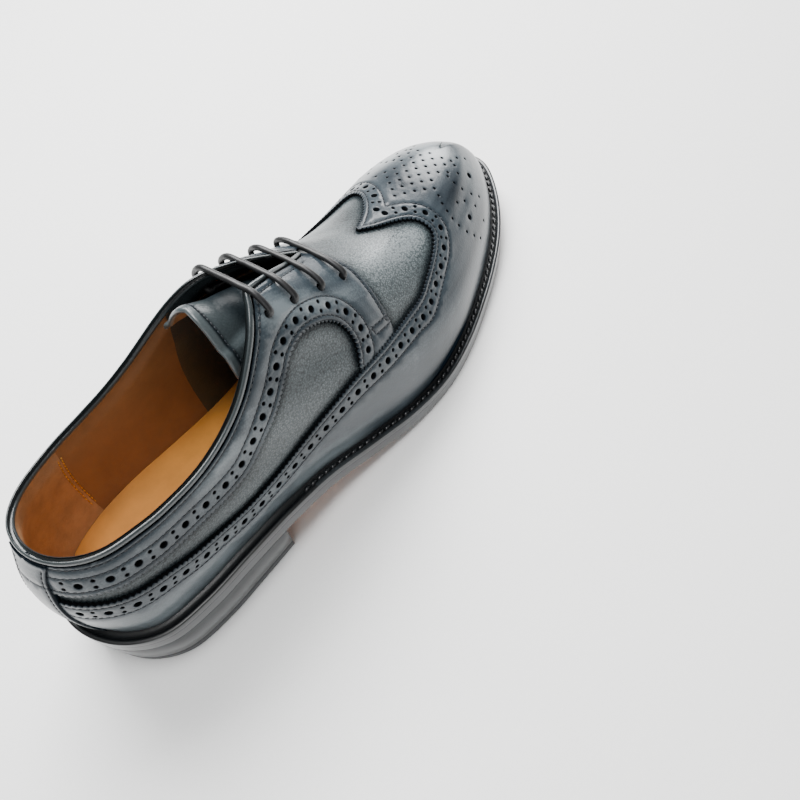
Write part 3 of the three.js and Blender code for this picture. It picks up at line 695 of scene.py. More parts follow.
def cut_panel(shell, outline, low, high, holes=(), seams=(), lift=unlifted, step=(0.125, 0.026)):
    """Adds a leather panel on the last to a shell: its chart outline runs counter-clockwise,
    holes are (centre, radius) and seams are chart lines pressed into it."""
    outline = np.asarray(outline, float)
    count = len(outline)
    fold = (outline[:, 0] < 1e-6) | (outline[:, 0] > END - 1e-6) | (np.abs(outline[:, 1]) > 1)
    points = PanelPoints()
    # Painted shade: full on the cut edge and half on the ring inside it, so the edge reads as a shadow
    # line
    points.add(outline, np.where(fold, 0.0, -BEVEL), np.where(fold, 0.0, 1.0), joined=count)
    points.add(rail(outline, BEVEL * 1.3, closed=True, window=3)[~fold], 0.0, 0.5)
    rims, rings = [], []
    for number, (centre, radius) in enumerate(holes):
        size, drop = LARGE_RIM if radius > LARGE_FROM else SMALL_RIM
        rims.append((punch(centre, radius, size), drop))
        rings.append(punch(centre, radius + RIM_WIDTH, size))
        # Painted shade on each hole's rim, fading on its ring
        points.add(rims[-1][0], -drop, 1.0, number, joined=size)
        points.add(rings[-1], 0.0, 0.1)
    sewn_from = points.count
    for seam in seams:
        line = even(seam, SEAM_STEP)
        # Painted shade in the seam's groove, fading beside it
        points.add(line, -SEAM_DEPTH, 1.0, joined=len(line) - 1)
        for shift in (SEAM_HALF_WIDTH, -SEAM_HALF_WIDTH):
            points.add(rail(line, shift), 0.0, 0.2)
    special, heights, shades, hole_of = (np.concatenate(values) for values in points.columns)

    free = np.nonzero(hole_of[count:] < 0)[0] + count
    keep = np.ones(len(special), bool)
    keep[free] = inside(outline, special[free])
    keep[sewn_from:] &= ~inside_any(rings, special[sewn_from:])
    number = (np.cumsum(keep) - 1).tolist()
    edges = [(number[p], number[q]) for p, q in points.edges if keep[p] and keep[q]]
    grid = panel_grid(outline, special, rings, step)
    charts = np.concatenate([special[keep], grid])
    heights, shades, hole_of = (np.concatenate([values[keep], np.full(len(grid), plain)])
                                for values, plain in ((heights, 0.0), (shades, 0.0), (hole_of, -1)))
    flat = [Vector(p) for p in (charts * CHART_MM).tolist()]
    verts, _, faces, origins, _, _ = delaunay_2d_cdt(flat, edges, [], 0, 1e-6)
    position = np.array([tuple(v) for v in verts]) / CHART_MM
    first = np.array([origin[0] if origin else -1 for origin in origins])
    known = first >= 0
    position[known] = charts[first[known]]
    height, shade, hole = (np.where(known, values[first], plain)
                           for values, plain in ((heights, 0.0), (shades, 0.0), (hole_of, -1)))
    faces = panel_faces(np.array(faces), position, hole, first < count, outline)
    shell.add(spot(position, high + height + lift(position)), faces,
              shade + burnish_and_painted_light(position[:, 0], position[:, 1]), up=1 - np.abs(position[:, 1]))

    top = spot(outline, high - BEVEL + lift(outline))
    foot = spot(rail(outline, BEVEL * 0.75, closed=True, window=3), low)
    quads = [[k, count + k, count + (k + 1) % count, (k + 1) % count]
             for k in range(count) if not (fold[k] and fold[(k + 1) % count])]
    # Walls of the cut edge, in the painted shade of the second material
    shell.add(np.concatenate([top, foot]), quads, 1.0, 1)
    for (centre, radius), (rim, drop) in zip(holes, rims):
        size = len(rim)
        top = spot(rim, high - drop + lift(rim))
        foot = spot(punch(centre, radius * 0.9, size), low + 0.05)
        quads = [[(k + 1) % size, size + (k + 1) % size, size + k, k] for k in range(size)]
        shell.add(np.concatenate([top, foot]), quads, 1.0, 1)
        # A floor in each hole in painted shade, where the leather beneath would show
        fan = [[size, k, (k + 1) % size] for k in range(size)]
        shell.add(np.concatenate([foot, foot.mean(axis=0)[None]]), fan, 1.0, 1)


def threads(shell, centres, along, up, rings, sides):
    """Adds one short thread at each centre. Its rings are rows of place along, half width,
    half height and rise, in mm."""
    across = np.cross(up, along)
    angle = np.linspace(0, 2 * np.pi, sides, endpoint=False)
    ahead, wide, high, rise = np.asarray(rings).T[:, :, None]
    offsets = np.stack(np.broadcast_arrays(ahead, wide * np.cos(angle),
                                           high * np.sin(angle) + rise), axis=-1).reshape(-1, 3)
    points = (centres[:, None] + along[:, None] * offsets[:, 0, None]
              + across[:, None] * offsets[:, 1, None] + up[:, None] * offsets[:, 2, None])
    one = grid_faces(len(rings), sides, closed=True)
    faces = one + (np.arange(len(centres)) * len(offsets))[:, None, None]
    shell.add(points, faces.reshape(-1, 4))


def stitches(shell, line, pitch=2.5, lift=OVERLAY_OUTER, rise=unlifted):
    """Adds a row of sewn stitches along a chart line to a shell."""
    run = lengths(line)[-1]
    count = max(1, int(run / pitch))
    before, centres, after = (at_lengths(line, (np.arange(count) + share) * run / count)
                              for share in (0.3, 0.5, 0.7))
    middle = spot(centres, lift - STITCH_SINK + rise(centres))
    along = unit(place(after[:, 0], after[:, 1]) - place(before[:, 0], before[:, 1]))
    size = np.array([STITCH_LENGTH, STITCH_RADIUS, STITCH_RADIUS, STITCH_RADIUS])
    threads(shell, middle, along, normals(centres[:, 0], centres[:, 1]), STITCH_RINGS * size, 6)


def hole_row(line, sizes, first_station):
    """Holes along a line: large ones, with a pair of small ones between each two. None lies
    behind the first station."""
    run = lengths(line)
    count = int(run[-1] / (sizes.hole_pitch / MM))
    pitch = run[-1] / count
    large_at = at_lengths(line, (np.arange(count) + 0.5) * pitch)
    pair_at = np.arange(1, count + 1) * pitch
    pair_at = pair_at[pair_at < run[-1] - 1.0]
    pairs = [np.stack([np.interp(pair_at, run, row[:, k]) for k in (0, 1)], axis=-1)
             for row in (rail(line, PAIR_SPREAD, window=3), rail(line, -PAIR_SPREAD, window=3))]
    holes = [(p, sizes.hole / MM / 2) for p in large_at]
    holes += [(p, sizes.small_hole / MM / 2) for p in np.concatenate(pairs)]
    return [hole for hole in holes if hole[0][0] > first_station]


# Materials

# A wave texture of scale 1 repeats over this length in metres
WAVE_REPEAT = math.pi / 10
MATERIALS = {}


def linear(code):
    """Linear colour of an sRGB hex value."""
    values = [int(code[k:k + 2], 16) / 255 for k in (1, 3, 5)]
    return tuple(v / 12.92 if v <= 0.04045 else ((v + 0.055) / 1.055) ** 2.4
                 for v in values) + (1.0,)


def faded(tint, factor):
    """A linear colour made lighter or darker."""
    return tuple(min(value * factor, 1.0) for value in tint[:3]) + (1.0,)


def drift(tint):
    """A linear colour between a darker and a lighter one."""
    return faded(tint, 0.8), tuple(tint), faded(tint, 1.2)


def add_node(tree, kind, settings=None, links=None):
    """Adds a node. Settings in small letters are its own, other settings are its inputs, and
    stops are the positions and linear colours of a ramp. Links are inputs and their sources."""
    node = tree.nodes.new(kind)
    for key, value in (settings or {}).items():
        if key == "stops":
            elements = node.color_ramp.elements
            for _ in range(len(value) - len(elements)):
                elements.new(0.5)
            for element, (position, tint) in zip(elements, value):
                element.position, element.color = position, tint
        elif isinstance(key, str) and key[0].islower():
            setattr(node, key, value)
        else:
            node.inputs[key].default_value = value
    for key, source in (links or {}).items():
        tree.links.new(source, node.inputs[key])
    return node


def new_material(name, finish, *values, **options):
    """A material whose surface comes from a finish: a function that gets the node tree, the
    place on the piece and the values, and returns its shader."""
    material = bpy.data.materials.new(name)
    material.use_nodes = True
    tree = material.node_tree
    tree.nodes.clear()
    where = add_node(tree, "ShaderNodeTexCoord").outputs["Object"]
    surface = finish(tree, where, *values, **options)
    add_node(tree, "ShaderNodeOutputMaterial", None, {"Surface": surface.outputs["BSDF"]})
    return material


def burnished_calf(tree, where, tones, grain_mm, grain, roughness, coat, patina=0.5,
                   grain_tone=0.1):
    """Full-grain calf, aniline dyed and hand burnished, under a thin wax gloss: its tone drifts in
    clouds and in streaks brushed along the shoe. The shade attribute brings painted light and
    burnishing: above zero a deeper tone with less gloss, painted shade beside seams, edges and
    holes, and below zero a lighter tone, painted highlights."""
    shade = add_node(tree, "ShaderNodeAttribute", {"attribute_name": "shade"}).outputs["Fac"]
    up = add_node(tree, "ShaderNodeAttribute", {"attribute_name": "up"}).outputs["Fac"]
    clouds = add_node(tree, "ShaderNodeTexNoise", {
        "Scale": 1 / (34.0 * MM), "Detail": 6.0, "Roughness": 0.62, "Distortion": 0.5,
    }, {"Vector": where}).outputs["Fac"]
    up_mm = add_node(tree, "ShaderNodeMath", {"operation": "MULTIPLY", 1: CHART_MM[1] * MM},
                     {0: up})
    height = add_node(tree, "ShaderNodeCombineXYZ", None, {"Z": up_mm.outputs[0]})
    slow = add_node(tree, "ShaderNodeMapping", {"Scale": (0.12, 0.12, 0.05)}, {"Vector": where})
    brushed = add_node(tree, "ShaderNodeVectorMath", {"operation": "ADD"},
                       {0: slow.outputs["Vector"], 1: height.outputs["Vector"]})
    streaks = add_node(tree, "ShaderNodeTexNoise", {
        "Scale": 1 / (5.0 * MM), "Detail": 5.0, "Roughness": 0.62,
    }, {"Vector": brushed.outputs["Vector"]}).outputs["Fac"]
    cells = add_node(tree, "ShaderNodeTexVoronoi", {"Scale": 1 / (grain_mm * MM)},
                     {"Vector": where}).outputs["Distance"]
    level = None
    base = 0.46 - 0.95 * patina + 0.45 * grain_tone
    for source, factor in ((clouds, patina), (streaks, 0.9 * patina), (cells, -grain_tone),
                           (shade, -0.40)):
        links = {0: source} if level is None else {0: source, 2: level}
        level = add_node(tree, "ShaderNodeMath", {"operation": "MULTIPLY_ADD", 1: factor, 2: base},
                         links).outputs[0]
    dye = add_node(tree, "ShaderNodeValToRGB", {
        "stops": list(zip((0.10, 0.46, 0.74), map(tuple, tones)))}, {"Fac": level})
    pores = add_node(tree, "ShaderNodeBump", {"Strength": grain, "Distance": 0.12 * MM,
                                              "invert": True}, {"Height": cells})
    soft = add_node(tree, "ShaderNodeTexNoise", {"Scale": 1 / (9.0 * MM), "Detail": 2.0},
                    {"Vector": where})
    bumped = add_node(tree, "ShaderNodeBump", {"Strength": 0.3, "Distance": 0.35 * MM},
                      {"Height": soft.outputs["Fac"], "Normal": pores.outputs["Normal"]})
    rough = add_node(tree, "ShaderNodeMath", {
        "operation": "MULTIPLY_ADD", 1: 0.24, 2: roughness - 0.12}, {0: streaks})
    # Painted shade also takes away specular and coat gloss, so painted shadows read black
    shine, wax = (add_node(tree, "ShaderNodeMath", {
        "operation": "MULTIPLY_ADD", "use_clamp": True, 1: factor, 2: full}, {0: shade})
        for factor, full in ((-0.4, 0.45), (-coat, coat)))
    return add_node(tree, "ShaderNodeBsdfPrincipled", {
        "IOR": 1.45, "Coat Roughness": 0.2, "Coat IOR": 1.5,
    }, {"Base Color": dye.outputs["Color"], "Roughness": rough.outputs[0],
        "Normal": bumped.outputs["Normal"], "Specular IOR Level": shine.outputs[0],
        "Coat Weight": wax.outputs[0]})


def cut_edge_painted_shade(tree, where):
    """Walls and floors of holes and walls of cut edges: nearly black and without gloss, painted
    shade in the holes and painted shadow along the edges.
    """
    fibre = add_node(tree, "ShaderNodeTexNoise", {"Scale": 1 / (0.6 * MM), "Detail": 3.0},
                     {"Vector": where})
    dye = add_node(tree, "ShaderNodeValToRGB", {
        "stops": [(0.3, linear("#030405")), (0.7, linear("#0a0d10"))],
    }, {"Fac": fibre.outputs["Fac"]})
    return add_node(tree, "ShaderNodeBsdfPrincipled", {
        "Roughness": 1.0, "Specular IOR Level": 0.05}, {"Base Color": dye.outputs["Color"]})


def smooth_hide(tree, where, tones, cell_mm, depth, roughness, coat=0.0, patch_mm=25.0):
    """Vegetable-tanned leather, rolled smooth or split: tone drifts softly over the hide."""
    clouds = add_node(tree, "ShaderNodeTexNoise", {
        "Scale": 1 / (patch_mm * MM), "Detail": 6.0, "Roughness": 0.62}, {"Vector": where})
    tan = add_node(tree, "ShaderNodeValToRGB", {"stops": list(zip((0.28, 0.5, 0.74), tones))},
                   {"Fac": clouds.outputs["Fac"]})
    cells = add_node(tree, "ShaderNodeTexNoise", {"Scale": 1 / (cell_mm * MM), "Detail": 4.0},
                     {"Vector": where})
    bumped = add_node(tree, "ShaderNodeBump", {"Strength": depth, "Distance": 0.15 * MM},
                      {"Height": cells.outputs["Fac"]})
    return add_node(tree, "ShaderNodeBsdfPrincipled", {
        "IOR": 1.48, "Roughness": roughness, "Coat Weight": coat, "Coat Roughness": 0.25,
    }, {"Base Color": tan.outputs["Color"], "Normal": bumped.outputs["Normal"]})


def ironed_edge(tree, where, deep, tone):
    """Leather edge inked, waxed and hot-ironed: an even dark ink, barely uneven from lift to
    lift, under a smooth gloss."""
    lifts = add_node(tree, "ShaderNodeTexWave", {
        "wave_type": "BANDS", "bands_direction": "Z", "Scale": WAVE_REPEAT / (9.4 * MM),
        "Distortion": 1.2, "Detail": 2.0}, {"Vector": where})
    clouds = add_node(tree, "ShaderNodeTexNoise", {"Scale": 1 / (14 * MM), "Detail": 5.0},
                      {"Vector": where})
    mixed = add_node(tree, "ShaderNodeMath", {"operation": "MULTIPLY_ADD", 1: 0.05},
                     {0: lifts.outputs["Fac"], 2: clouds.outputs["Fac"]}).outputs[0]
    ink = add_node(tree, "ShaderNodeValToRGB", {"stops": [(0.35, deep), (0.75, tone)]},
                   {"Fac": mixed})
    bumped = add_node(tree, "ShaderNodeBump", {"Strength": 0.2, "Distance": 0.1 * MM},
                      {"Height": mixed})
    return add_node(tree, "ShaderNodeBsdfPrincipled", {
        "IOR": 1.5, "Roughness": 0.3, "Coat Weight": 0.4, "Coat Roughness": 0.15,
    }, {"Base Color": ink.outputs["Color"], "Normal": bumped.outputs["Normal"]})


def oak_tanned_sole(tree, where, tone):
    """Oak-bark tanned bend, sanded and waxed, with an inked border: even tan with fine fibre."""
    border = add_node(tree, "ShaderNodeAttribute", {"attribute_name": "shade"})
    clouds = add_node(tree, "ShaderNodeTexNoise", {
        "Scale": 1 / (30 * MM), "Detail": 7.0, "Roughness": 0.65}, {"Vector": where})
    tan = add_node(tree, "ShaderNodeValToRGB", {"stops": list(zip((0.3, 0.5, 0.72), drift(tone)))},
                   {"Fac": clouds.outputs["Fac"]})
    inked = add_node(tree, "ShaderNodeMix", {"data_type": "RGBA", 7: linear("#0c0f13")},
                     {0: border.outputs["Fac"], 6: tan.outputs["Color"]})
    fibre = add_node(tree, "ShaderNodeTexNoise", {"Scale": 1 / (0.8 * MM), "Detail": 4.0},
                     {"Vector": where})
    bumped = add_node(tree, "ShaderNodeBump", {"Strength": 0.2, "Distance": 0.1 * MM},
                      {"Height": fibre.outputs["Fac"]})
    return add_node(tree, "ShaderNodeBsdfPrincipled", {
        "IOR": 1.48, "Roughness": 0.46, "Coat Weight": 0.15, "Coat Roughness": 0.3,
    }, {"Base Color": inked.outputs[2], "Normal": bumped.outputs["Normal"]})


def waxed_cotton(tree, where, tint, braid_mm, roughness, coat):
    """Round braided cotton, waxed: a fine diagonal braid under a dull gloss. The braid is drawn
    coarser than life so that it shows."""
    turned = add_node(tree, "ShaderNodeMapping", {"Rotation": (0.5, 0.6, 0.8)},
                      {"Vector": where})
    braid = add_node(tree, "ShaderNodeTexWave", {
        "Scale": WAVE_REPEAT / (braid_mm * MM), "Distortion": 3.0, "Detail": 1.0,
    }, {"Vector": turned.outputs["Vector"]}).outputs["Fac"]
    dye = add_node(tree, "ShaderNodeValToRGB", {
        "stops": [(0.0, faded(tint, 0.55)), (1.0, faded(tint, 1.5))]}, {"Fac": braid})
    bumped = add_node(tree, "ShaderNodeBump", {"Strength": 0.4, "Distance": 0.12 * MM},
                      {"Height": braid})
    return add_node(tree, "ShaderNodeBsdfPrincipled", {
        "IOR": 1.5, "Roughness": roughness, "Coat Weight": coat, "Coat Roughness": 0.25,
    }, {"Base Color": dye.outputs["Color"], "Normal": bumped.outputs["Normal"]})


def studio_paper(tree, where):
    """Seamless studio paper, matt: a pale ground that only takes soft shadows."""
    tooth = add_node(tree, "ShaderNodeTexNoise", {"Scale": 1 / (2.0 * MM), "Detail": 3.0},
                     {"Vector": where})
    pale = add_node(tree, "ShaderNodeValToRGB", {
        "stops": [(0.3, linear("#fbfbfa")), (0.7, linear("#fdfdfc"))],
    }, {"Fac": tooth.outputs["Fac"]})
    return add_node(tree, "ShaderNodeBsdfPrincipled", {
        "Roughness": 0.9, "Specular IOR Level": 0.2}, {"Base Color": pale.outputs["Color"]})


def make_materials():
    """Makes each material once, from the colours in the panel."""
    c = bpy.context.scene.shoe_colours
    calf = (c.calf_deep, c.calf, c.calf_worn)
    vamp = (c.vamp_deep, c.vamp, c.vamp_worn)
    rolled = (c.vamp_deep, faded(c.vamp, 0.5), c.vamp)
    soft = (c.vamp_deep, faded(c.vamp, 0.75), c.vamp)
    inked = [linear(code) for code in ("#040507", "#07090b", "#0c0f12")]
    rubber = [linear(code) for code in ("#15181b", "#1b1f22", "#24282b")]
    MATERIALS.update({
        "calf": new_material("burnished_calf", burnished_calf, calf, 0.85, 0.3, 0.35, 0.25),
        "grain": new_material("grained_calf", burnished_calf, vamp, 0.8, 1.0, 0.40, 0.15, 0.2, 0.5),
        "shaded_pit": new_material("cut_edge_painted_shade", cut_edge_painted_shade),
        "binding": new_material("rolled_edge_calf", burnished_calf, rolled, 0.9, 0.3, 0.32, 0.4, 0.2),
        "tongue": new_material("tongue_calf", burnished_calf, soft, 0.8, 0.4, 0.36, 0.3, 0.2),
        "lining": new_material("calf_lining", smooth_hide, drift(c.lining), 1.1, 0.18, 0.5),
        "suede": new_material("suede_heel_grip", smooth_hide, drift(c.grip), 0.9, 0.9, 0.85,
                              patch_mm=7.0),
        "sock": new_material("tan_sock", smooth_hide, drift(c.sock), 1.2, 0.12, 0.42, 0.1),
        "welt": new_material("black_welt", smooth_hide, inked, 1.2, 0.2, 0.42, 0.15),
        "welt_thread": new_material("welt_thread", waxed_cotton, linear("#0d1013"), 3.14, 0.4, 0.3),
        "thread": new_material("seam_thread", waxed_cotton, linear("#161c22"), 2.2, 0.55, 0.0),
        "tan_thread": new_material("tan_thread", waxed_cotton, faded(c.sock, 1.3), 2.2, 0.6, 0.0),
        "lace": new_material("waxed_lace", waxed_cotton, c.lace, 3.46, 0.5, 0.1),
        "edge": new_material("ironed_sole_edge", ironed_edge, faded(c.edge, 0.35), tuple(c.edge)),
        "sole": new_material("oak_tanned_sole", oak_tanned_sole, c.sole),
        "rubber": new_material("moulded_rubber", smooth_hide, rubber, 0.8, 0.2, 0.4),
        "floor": new_material("studio_paper", studio_paper),
    })


# Sizes and colours that can be changed in the panel


class ShoeSizes(bpy.types.PropertyGroup):
    tooth: FloatProperty(name="Pinking tooth", description="Pitch of the teeth of a pinked edge",
                         default=2.1 * MM, unit="LENGTH")
    tooth_depth: FloatProperty(name="Tooth depth", description="Depth of the teeth",
                               default=1.05 * MM, unit="LENGTH")
    hole: FloatProperty(name="Large hole", description="Diameter of the large punched holes",
                        default=2.75 * MM, unit="LENGTH")
    small_hole: FloatProperty(name="Small hole", description="Diameter of the small punched holes",
                              default=1.4 * MM, unit="LENGTH")
    hole_pitch: FloatProperty(name="Hole pitch", description="Distance between large holes",
                              default=9.4 * MM, unit="LENGTH")
    stitch: FloatProperty(name="Stitch pitch", description="Distance between upper stitches",
                          default=2.4 * MM, unit="LENGTH")
    welt_stitch: FloatProperty(name="Welt stitch pitch", description="Distance between stitches",
                               default=3.9 * MM, unit="LENGTH")


def colour(name, description, code):
    """A colour for the panel, from an sRGB hex value."""
    return FloatVectorProperty(name=name, description=description, subtype="COLOR", size=4,
                               min=0.0, max=1.0, default=linear(code))


class ShoeColours(bpy.types.PropertyGroup):
    # The deep colours are also where painted shade lies, beside seams, edges and holes, and the worn
    # colours where painted highlights lie
    calf_deep: colour("Calf, burnished", "Wing and facings where the dye lies deep", "#0c141b")
    calf: colour("Calf", "Wing and facings", "#2f383e")
    calf_worn: colour("Calf, worn", "Wing and facings where the dye thins", "#636c70")
    vamp_deep: colour("Vamp, burnished", "Vamp and quarters beside the seams", "#171d20")
    vamp: colour("Vamp", "Vamp and quarters", "#41494b")
    vamp_worn: colour("Vamp, worn", "Vamp and quarters where the dye thins", "#777e80")
    lining: colour("Lining", "Lining of the quarters", "#8c6444")
    sock: colour("Sock", "Sock over the insole", "#d08d40")
    grip: colour("Heel grip", "Suede inside the heel", "#b08a66")
    sole: colour("Sole", "Bottom of the outsole", "#c9803f")
    edge: colour("Sole edge", "Ironed edges of sole and heel", "#2b2f32")
    lace: colour("Lace", "Waxed lace", "#08090b")


def wing_lines(sizes):
    """The wing's line, its pinked edge, its two seams and its holes."""
    half = side_line(WING, -1)
    tooth = pinked(half, sizes.tooth / MM, sizes.tooth_depth / MM, 1)
    edge_seam, hole_line, inner_seam = (
        up_to_ridge(rail(even(half, 1.0), -distance, window=window), -1)
        for distance, window in zip(WING_ROWS, (2, 3, 3)))
    return half, tooth, edge_seam, inner_seam, hole_line


def with_mirror_image(points):
    """Places on the toe and their mirror images over the diamond's long diagonal."""
    axis = unit(MEDALLION_OUTWARD + MEDALLION_INWARD)
    ahead = points - MEDALLION_CORNER
    image = MEDALLION_CORNER + 2 * (ahead @ axis)[:, None] * axis - ahead
    return np.concatenate([points, image])


def medallion(sizes, inner_seam):
    """Punched ornament of the toe: a diamond lattice of small holes, and on each side of it two
    large holes wrapped in scrolls of small ones."""
    seam = place(inner_seam[:, 0], inner_seam[:, 1])
    small, large = sizes.small_hole / MM / 2 * 0.9, sizes.hole / MM / 2
    lattice = [MEDALLION_CORNER + i * MEDALLION_OUTWARD + j * MEDALLION_INWARD
               for i in range(8) for j in range(8)
               if (i < 5 or j > 1) and (j < 5 or i > 1) and i + j < 11]
    def fits(centre, radius):
        """Whether a hole keeps its distance from the toe's tip and from the inner seam."""
        to_tip = np.linalg.norm(slopes(*centre)[0]) * (END - centre[0])
        gap = np.linalg.norm(seam - place(*centre), axis=1)
        k = min(gap.argmin(), len(seam) - 2)
        run, away = inner_seam[k + 1] - inner_seam[k], centre - inner_seam[k]
        behind = run[0] * away[1] - run[1] * away[0] > 0
        return not (to_tip < radius + 0.9 or behind or gap.min() < radius + 1.2
                    or abs(centre[1]) > 0.9)

    wanted = [(point, large) for point in with_mirror_image(MEDALLION_ROSES)]
    wanted += [(point, small) for point in lattice]
    wanted += [(point, small) for point in with_mirror_image(MEDALLION_SCROLLS)]
    kept = []
    for (x, y), radius in wanted:
        if x > TOE_END:
            continue
        centre = chart_of(x, y)
        if fits(centre, radius) and all(
                np.linalg.norm(place(*other) - place(*centre)) > radius + size + 1.1
                for other, size in kept):
            kept.append((centre, radius))
    return kept


class SHOE_OT_wing(bpy.types.Operator):
    """Wing cap with pinked edge, perforations, medallion and seams"""
    bl_idname = "shoe.wing"
    bl_label = "Wing cap"

    def execute(self, context):
        sizes = context.scene.shoe_sizes
        half, tooth, edge_seam, inner_seam, hole_line = wing_lines(sizes)
        foot = np.stack([np.linspace(0, END, 240), np.full(240, -HEM)], axis=-1)
        toe = np.stack([np.full(41, float(END)), np.linspace(-HEM, HEM, 41)], axis=-1)[1:-1]
        rear = np.stack([np.zeros(6), np.linspace(-HEM, half[0, 1], 6)], axis=-1)[1:-1]
        lateral = tooth[::-1]
        outline = np.concatenate([foot, toe, mirrored(foot), mirrored(rear), mirrored(lateral),
                                  lateral[1:], rear[::-1]])
        outline[:, 0] = np.clip(outline[:, 0], 0, END)
        row = hole_row(hole_line[::-1], sizes, 0.8)
        both = row + [(centre * np.array([1, -1]), radius) for centre, radius in row]
        full_seam = np.concatenate([inner_seam, mirrored(inner_seam)[1:]])
        holes = both + medallion(sizes, full_seam)
        shell = Shell()
        seams = [line for seam in (edge_seam, inner_seam) for line in (seam, mirrored(seam))]
        cut_panel(shell, outline, UPPER_OUTER, OVERLAY_OUTER, holes, seams)
        shell.make("wing_cap", [MATERIALS["calf"], MATERIALS["shaded_pit"]], "upper_leather",
                   ["wing_band"], weld=0.02)
        sewn = Shell()
        for seam in seams:
            stitches(sewn, seam, sizes.stitch / MM)
        sewn.make("wing_stitches", [MATERIALS["thread"]], "upper_leather")
        return {"FINISHED"}


def facing_outline(side, sizes):
    """Chart outline of a facing, counter-clockwise on the inner side, with its own lines."""
    column_number = 2 if side > 0 else 1
    rim = side_line(COLLAR, 1, column_number, 6)
    rim = rim[rim[:, 0] > 0.25]
    rim = rail(even(rim, 2.5), 1.0)
    front = even(side_line(FACING_FRONT, 1), 1.2)
    lower = side_line(FACING_LOWER, 1)
    teeth = pinked(lower, sizes.tooth / MM, sizes.tooth_depth / MM, -1)
    outline = np.concatenate([rim[:-1], front, teeth])
    return outline, rim, front, lower


def sunk_hem(line):
    """The facing's band dips, in mm, where it passes under the wing."""
    edge = side_line(WING, 1)
    low_part = edge[:np.argmax(edge[:, 0] > 9.3)]
    at = np.interp(line[..., 0], low_part[:, 0], low_part[:, 1])
    gap = (at - np.abs(line[..., 1])) * CHART_MM[1]
    within = (line[..., 0] > 6.9) & (line[..., 0] < 8.7)
    return np.where(within, -0.75 * (1 - smooth_step(0.0, 5.0, gap)), 0.0)


class SHOE_OT_facings(bpy.types.Operator):
    """Facings with pinked band, perforations, stitched front edge and bar tacks"""
    bl_idname = "shoe.facings"
    bl_label = "Facings"

    def execute(self, context):
        sizes = context.scene.shoe_sizes
        for side, name in ((-1, "outer"), (1, "inner")):
            outline, rim, front, lower = facing_outline(side, sizes)
            lower = even(lower, 1.0)
            behind_front = lengths(lower) > 5.0
            edge_seam, hole_line, upper_seam = (
                rail(lower, distance, window=window)[behind_front]
                for distance, window in zip(FACING_ROWS, (2, 3, 4)))
            front_seam = rail(front, FRONT_SEAM, window=3)
            front_seam = front_seam[(lengths(front) > 4.0) & (front[:, 1] < 0.52)]
            rim_seam = rail(rim, COLLAR_SEAM, window=2)[2:-2]
            tack_front = rail(front, 1.2)[np.argmin(np.abs(front[:, 1] - 0.495))]
            tack = tack_front + np.concatenate([np.zeros((1, 2)), np.cumsum(TACK_STEPS, axis=0)])
            row = hole_row(hole_line, sizes, 0.75)
            punched = [(np.array([station, 1 - up]), EYELET_RADIUS) for station, up in EYELETS]
            seams = [edge_seam, upper_seam, front_seam, rim_seam, tack]
            if side < 0:
                turn = np.array([1.0, -1.0])
                outline = outline[::-1] * turn
                seams = [seam * turn for seam in seams]
                row = [(centre * turn, radius) for centre, radius in row]
                punched = [(centre * turn, radius) for centre, radius in punched]
            shell = Shell()
            cut_panel(shell, outline, UPPER_OUTER, OVERLAY_OUTER, row + punched, seams,
                      lift=sunk_hem)
            shell.make("facing_" + name + "_leather", [MATERIALS["calf"], MATERIALS["shaded_pit"]],
                       "upper_leather", ["facing_" + name])
            sewn = Shell()
            for seam in seams:
                stitches(sewn, seam, sizes.stitch / MM, rise=sunk_hem)
            sewn.make("facing_" + name + "_stitches", [MATERIALS["thread"]], "upper_leather")
        return {"FINISHED"}


class SHOE_OT_back_strip(bpy.types.Operator):
    """Back strip over the heel seam"""
    bl_idname = "shoe.back_strip"
    bl_label = "Back strip"

    def execute(self, context):
        edge = even(side_line(BACK_STRIP, 1), 1.2)
        top = edge[0]
        rim = np.stack([np.linspace(0, top[0], 8), np.linspace(BACK_TOP, top[1], 8)], axis=-1)[:-1]
        sole = np.stack([np.linspace(edge[-1, 0], 0, 7), np.full(7, edge[-1, 1])], axis=-1)[1:]
        fold = np.stack([np.zeros(16), np.linspace(edge[-1, 1], BACK_TOP, 16)], axis=-1)[1:-1]
        outline = np.concatenate([rim, edge, sole, fold])
        cross = np.stack([np.linspace(0.02, 0.50, 8), np.full(8, 0.675)], axis=-1)
        seam = rail(edge, 1.5)[3:-2]
        shell = Shell()
        sewn = Shell()
        for side in (1, -1):
            turn = np.array([1.0, side])
            shape = outline if side > 0 else outline[::-1] * turn
            cut_panel(shell, shape, UPPER_OUTER, OVERLAY_OUTER + BACK_RISE, (),
                      [seam * turn, cross * turn], step=(0.08, 0.02))
            stitches(sewn, seam * turn, lift=OVERLAY_OUTER + BACK_RISE)
        shell.make("back_strip_leather", [MATERIALS["calf"]], "upper_leather", ["back_strip"],
                   weld=0.02)
        sewn.make("back_strip_stitches", [MATERIALS["thread"]], "upper_leather")
        return {"FINISHED"}


def collar_up(stations, side):
    """How far up the sides reach: to the collar, and to the ridge ahead of the throat."""
    number = 2 if side > 0 else 1
    line = side_line(COLLAR, 1, number, 12)
    order = np.argsort(line[:, 0])
    up = 1 - np.interp(stations, line[order, 0], line[order, 1])
    return np.where(stations > COLLAR[-1, 0] + 0.016, 1.0, up)


def chart_rows(side, up_count=40):
    """Stations and chart grid of one side of the upper, between feather line and collar."""
    stations = np.unique(np.concatenate([np.arange(0, END + 0.01, 0.125),
                                         [8.10, 8.135, 8.137, 8.16]]))
    share = np.linspace(-0.012, 1, up_count)
    up = collar_up(stations, side)[:, None] * share[None]
    line = np.stack([np.repeat(stations[:, None], up_count, axis=1), side * (1 - up)], axis=-1)
    return stations, line


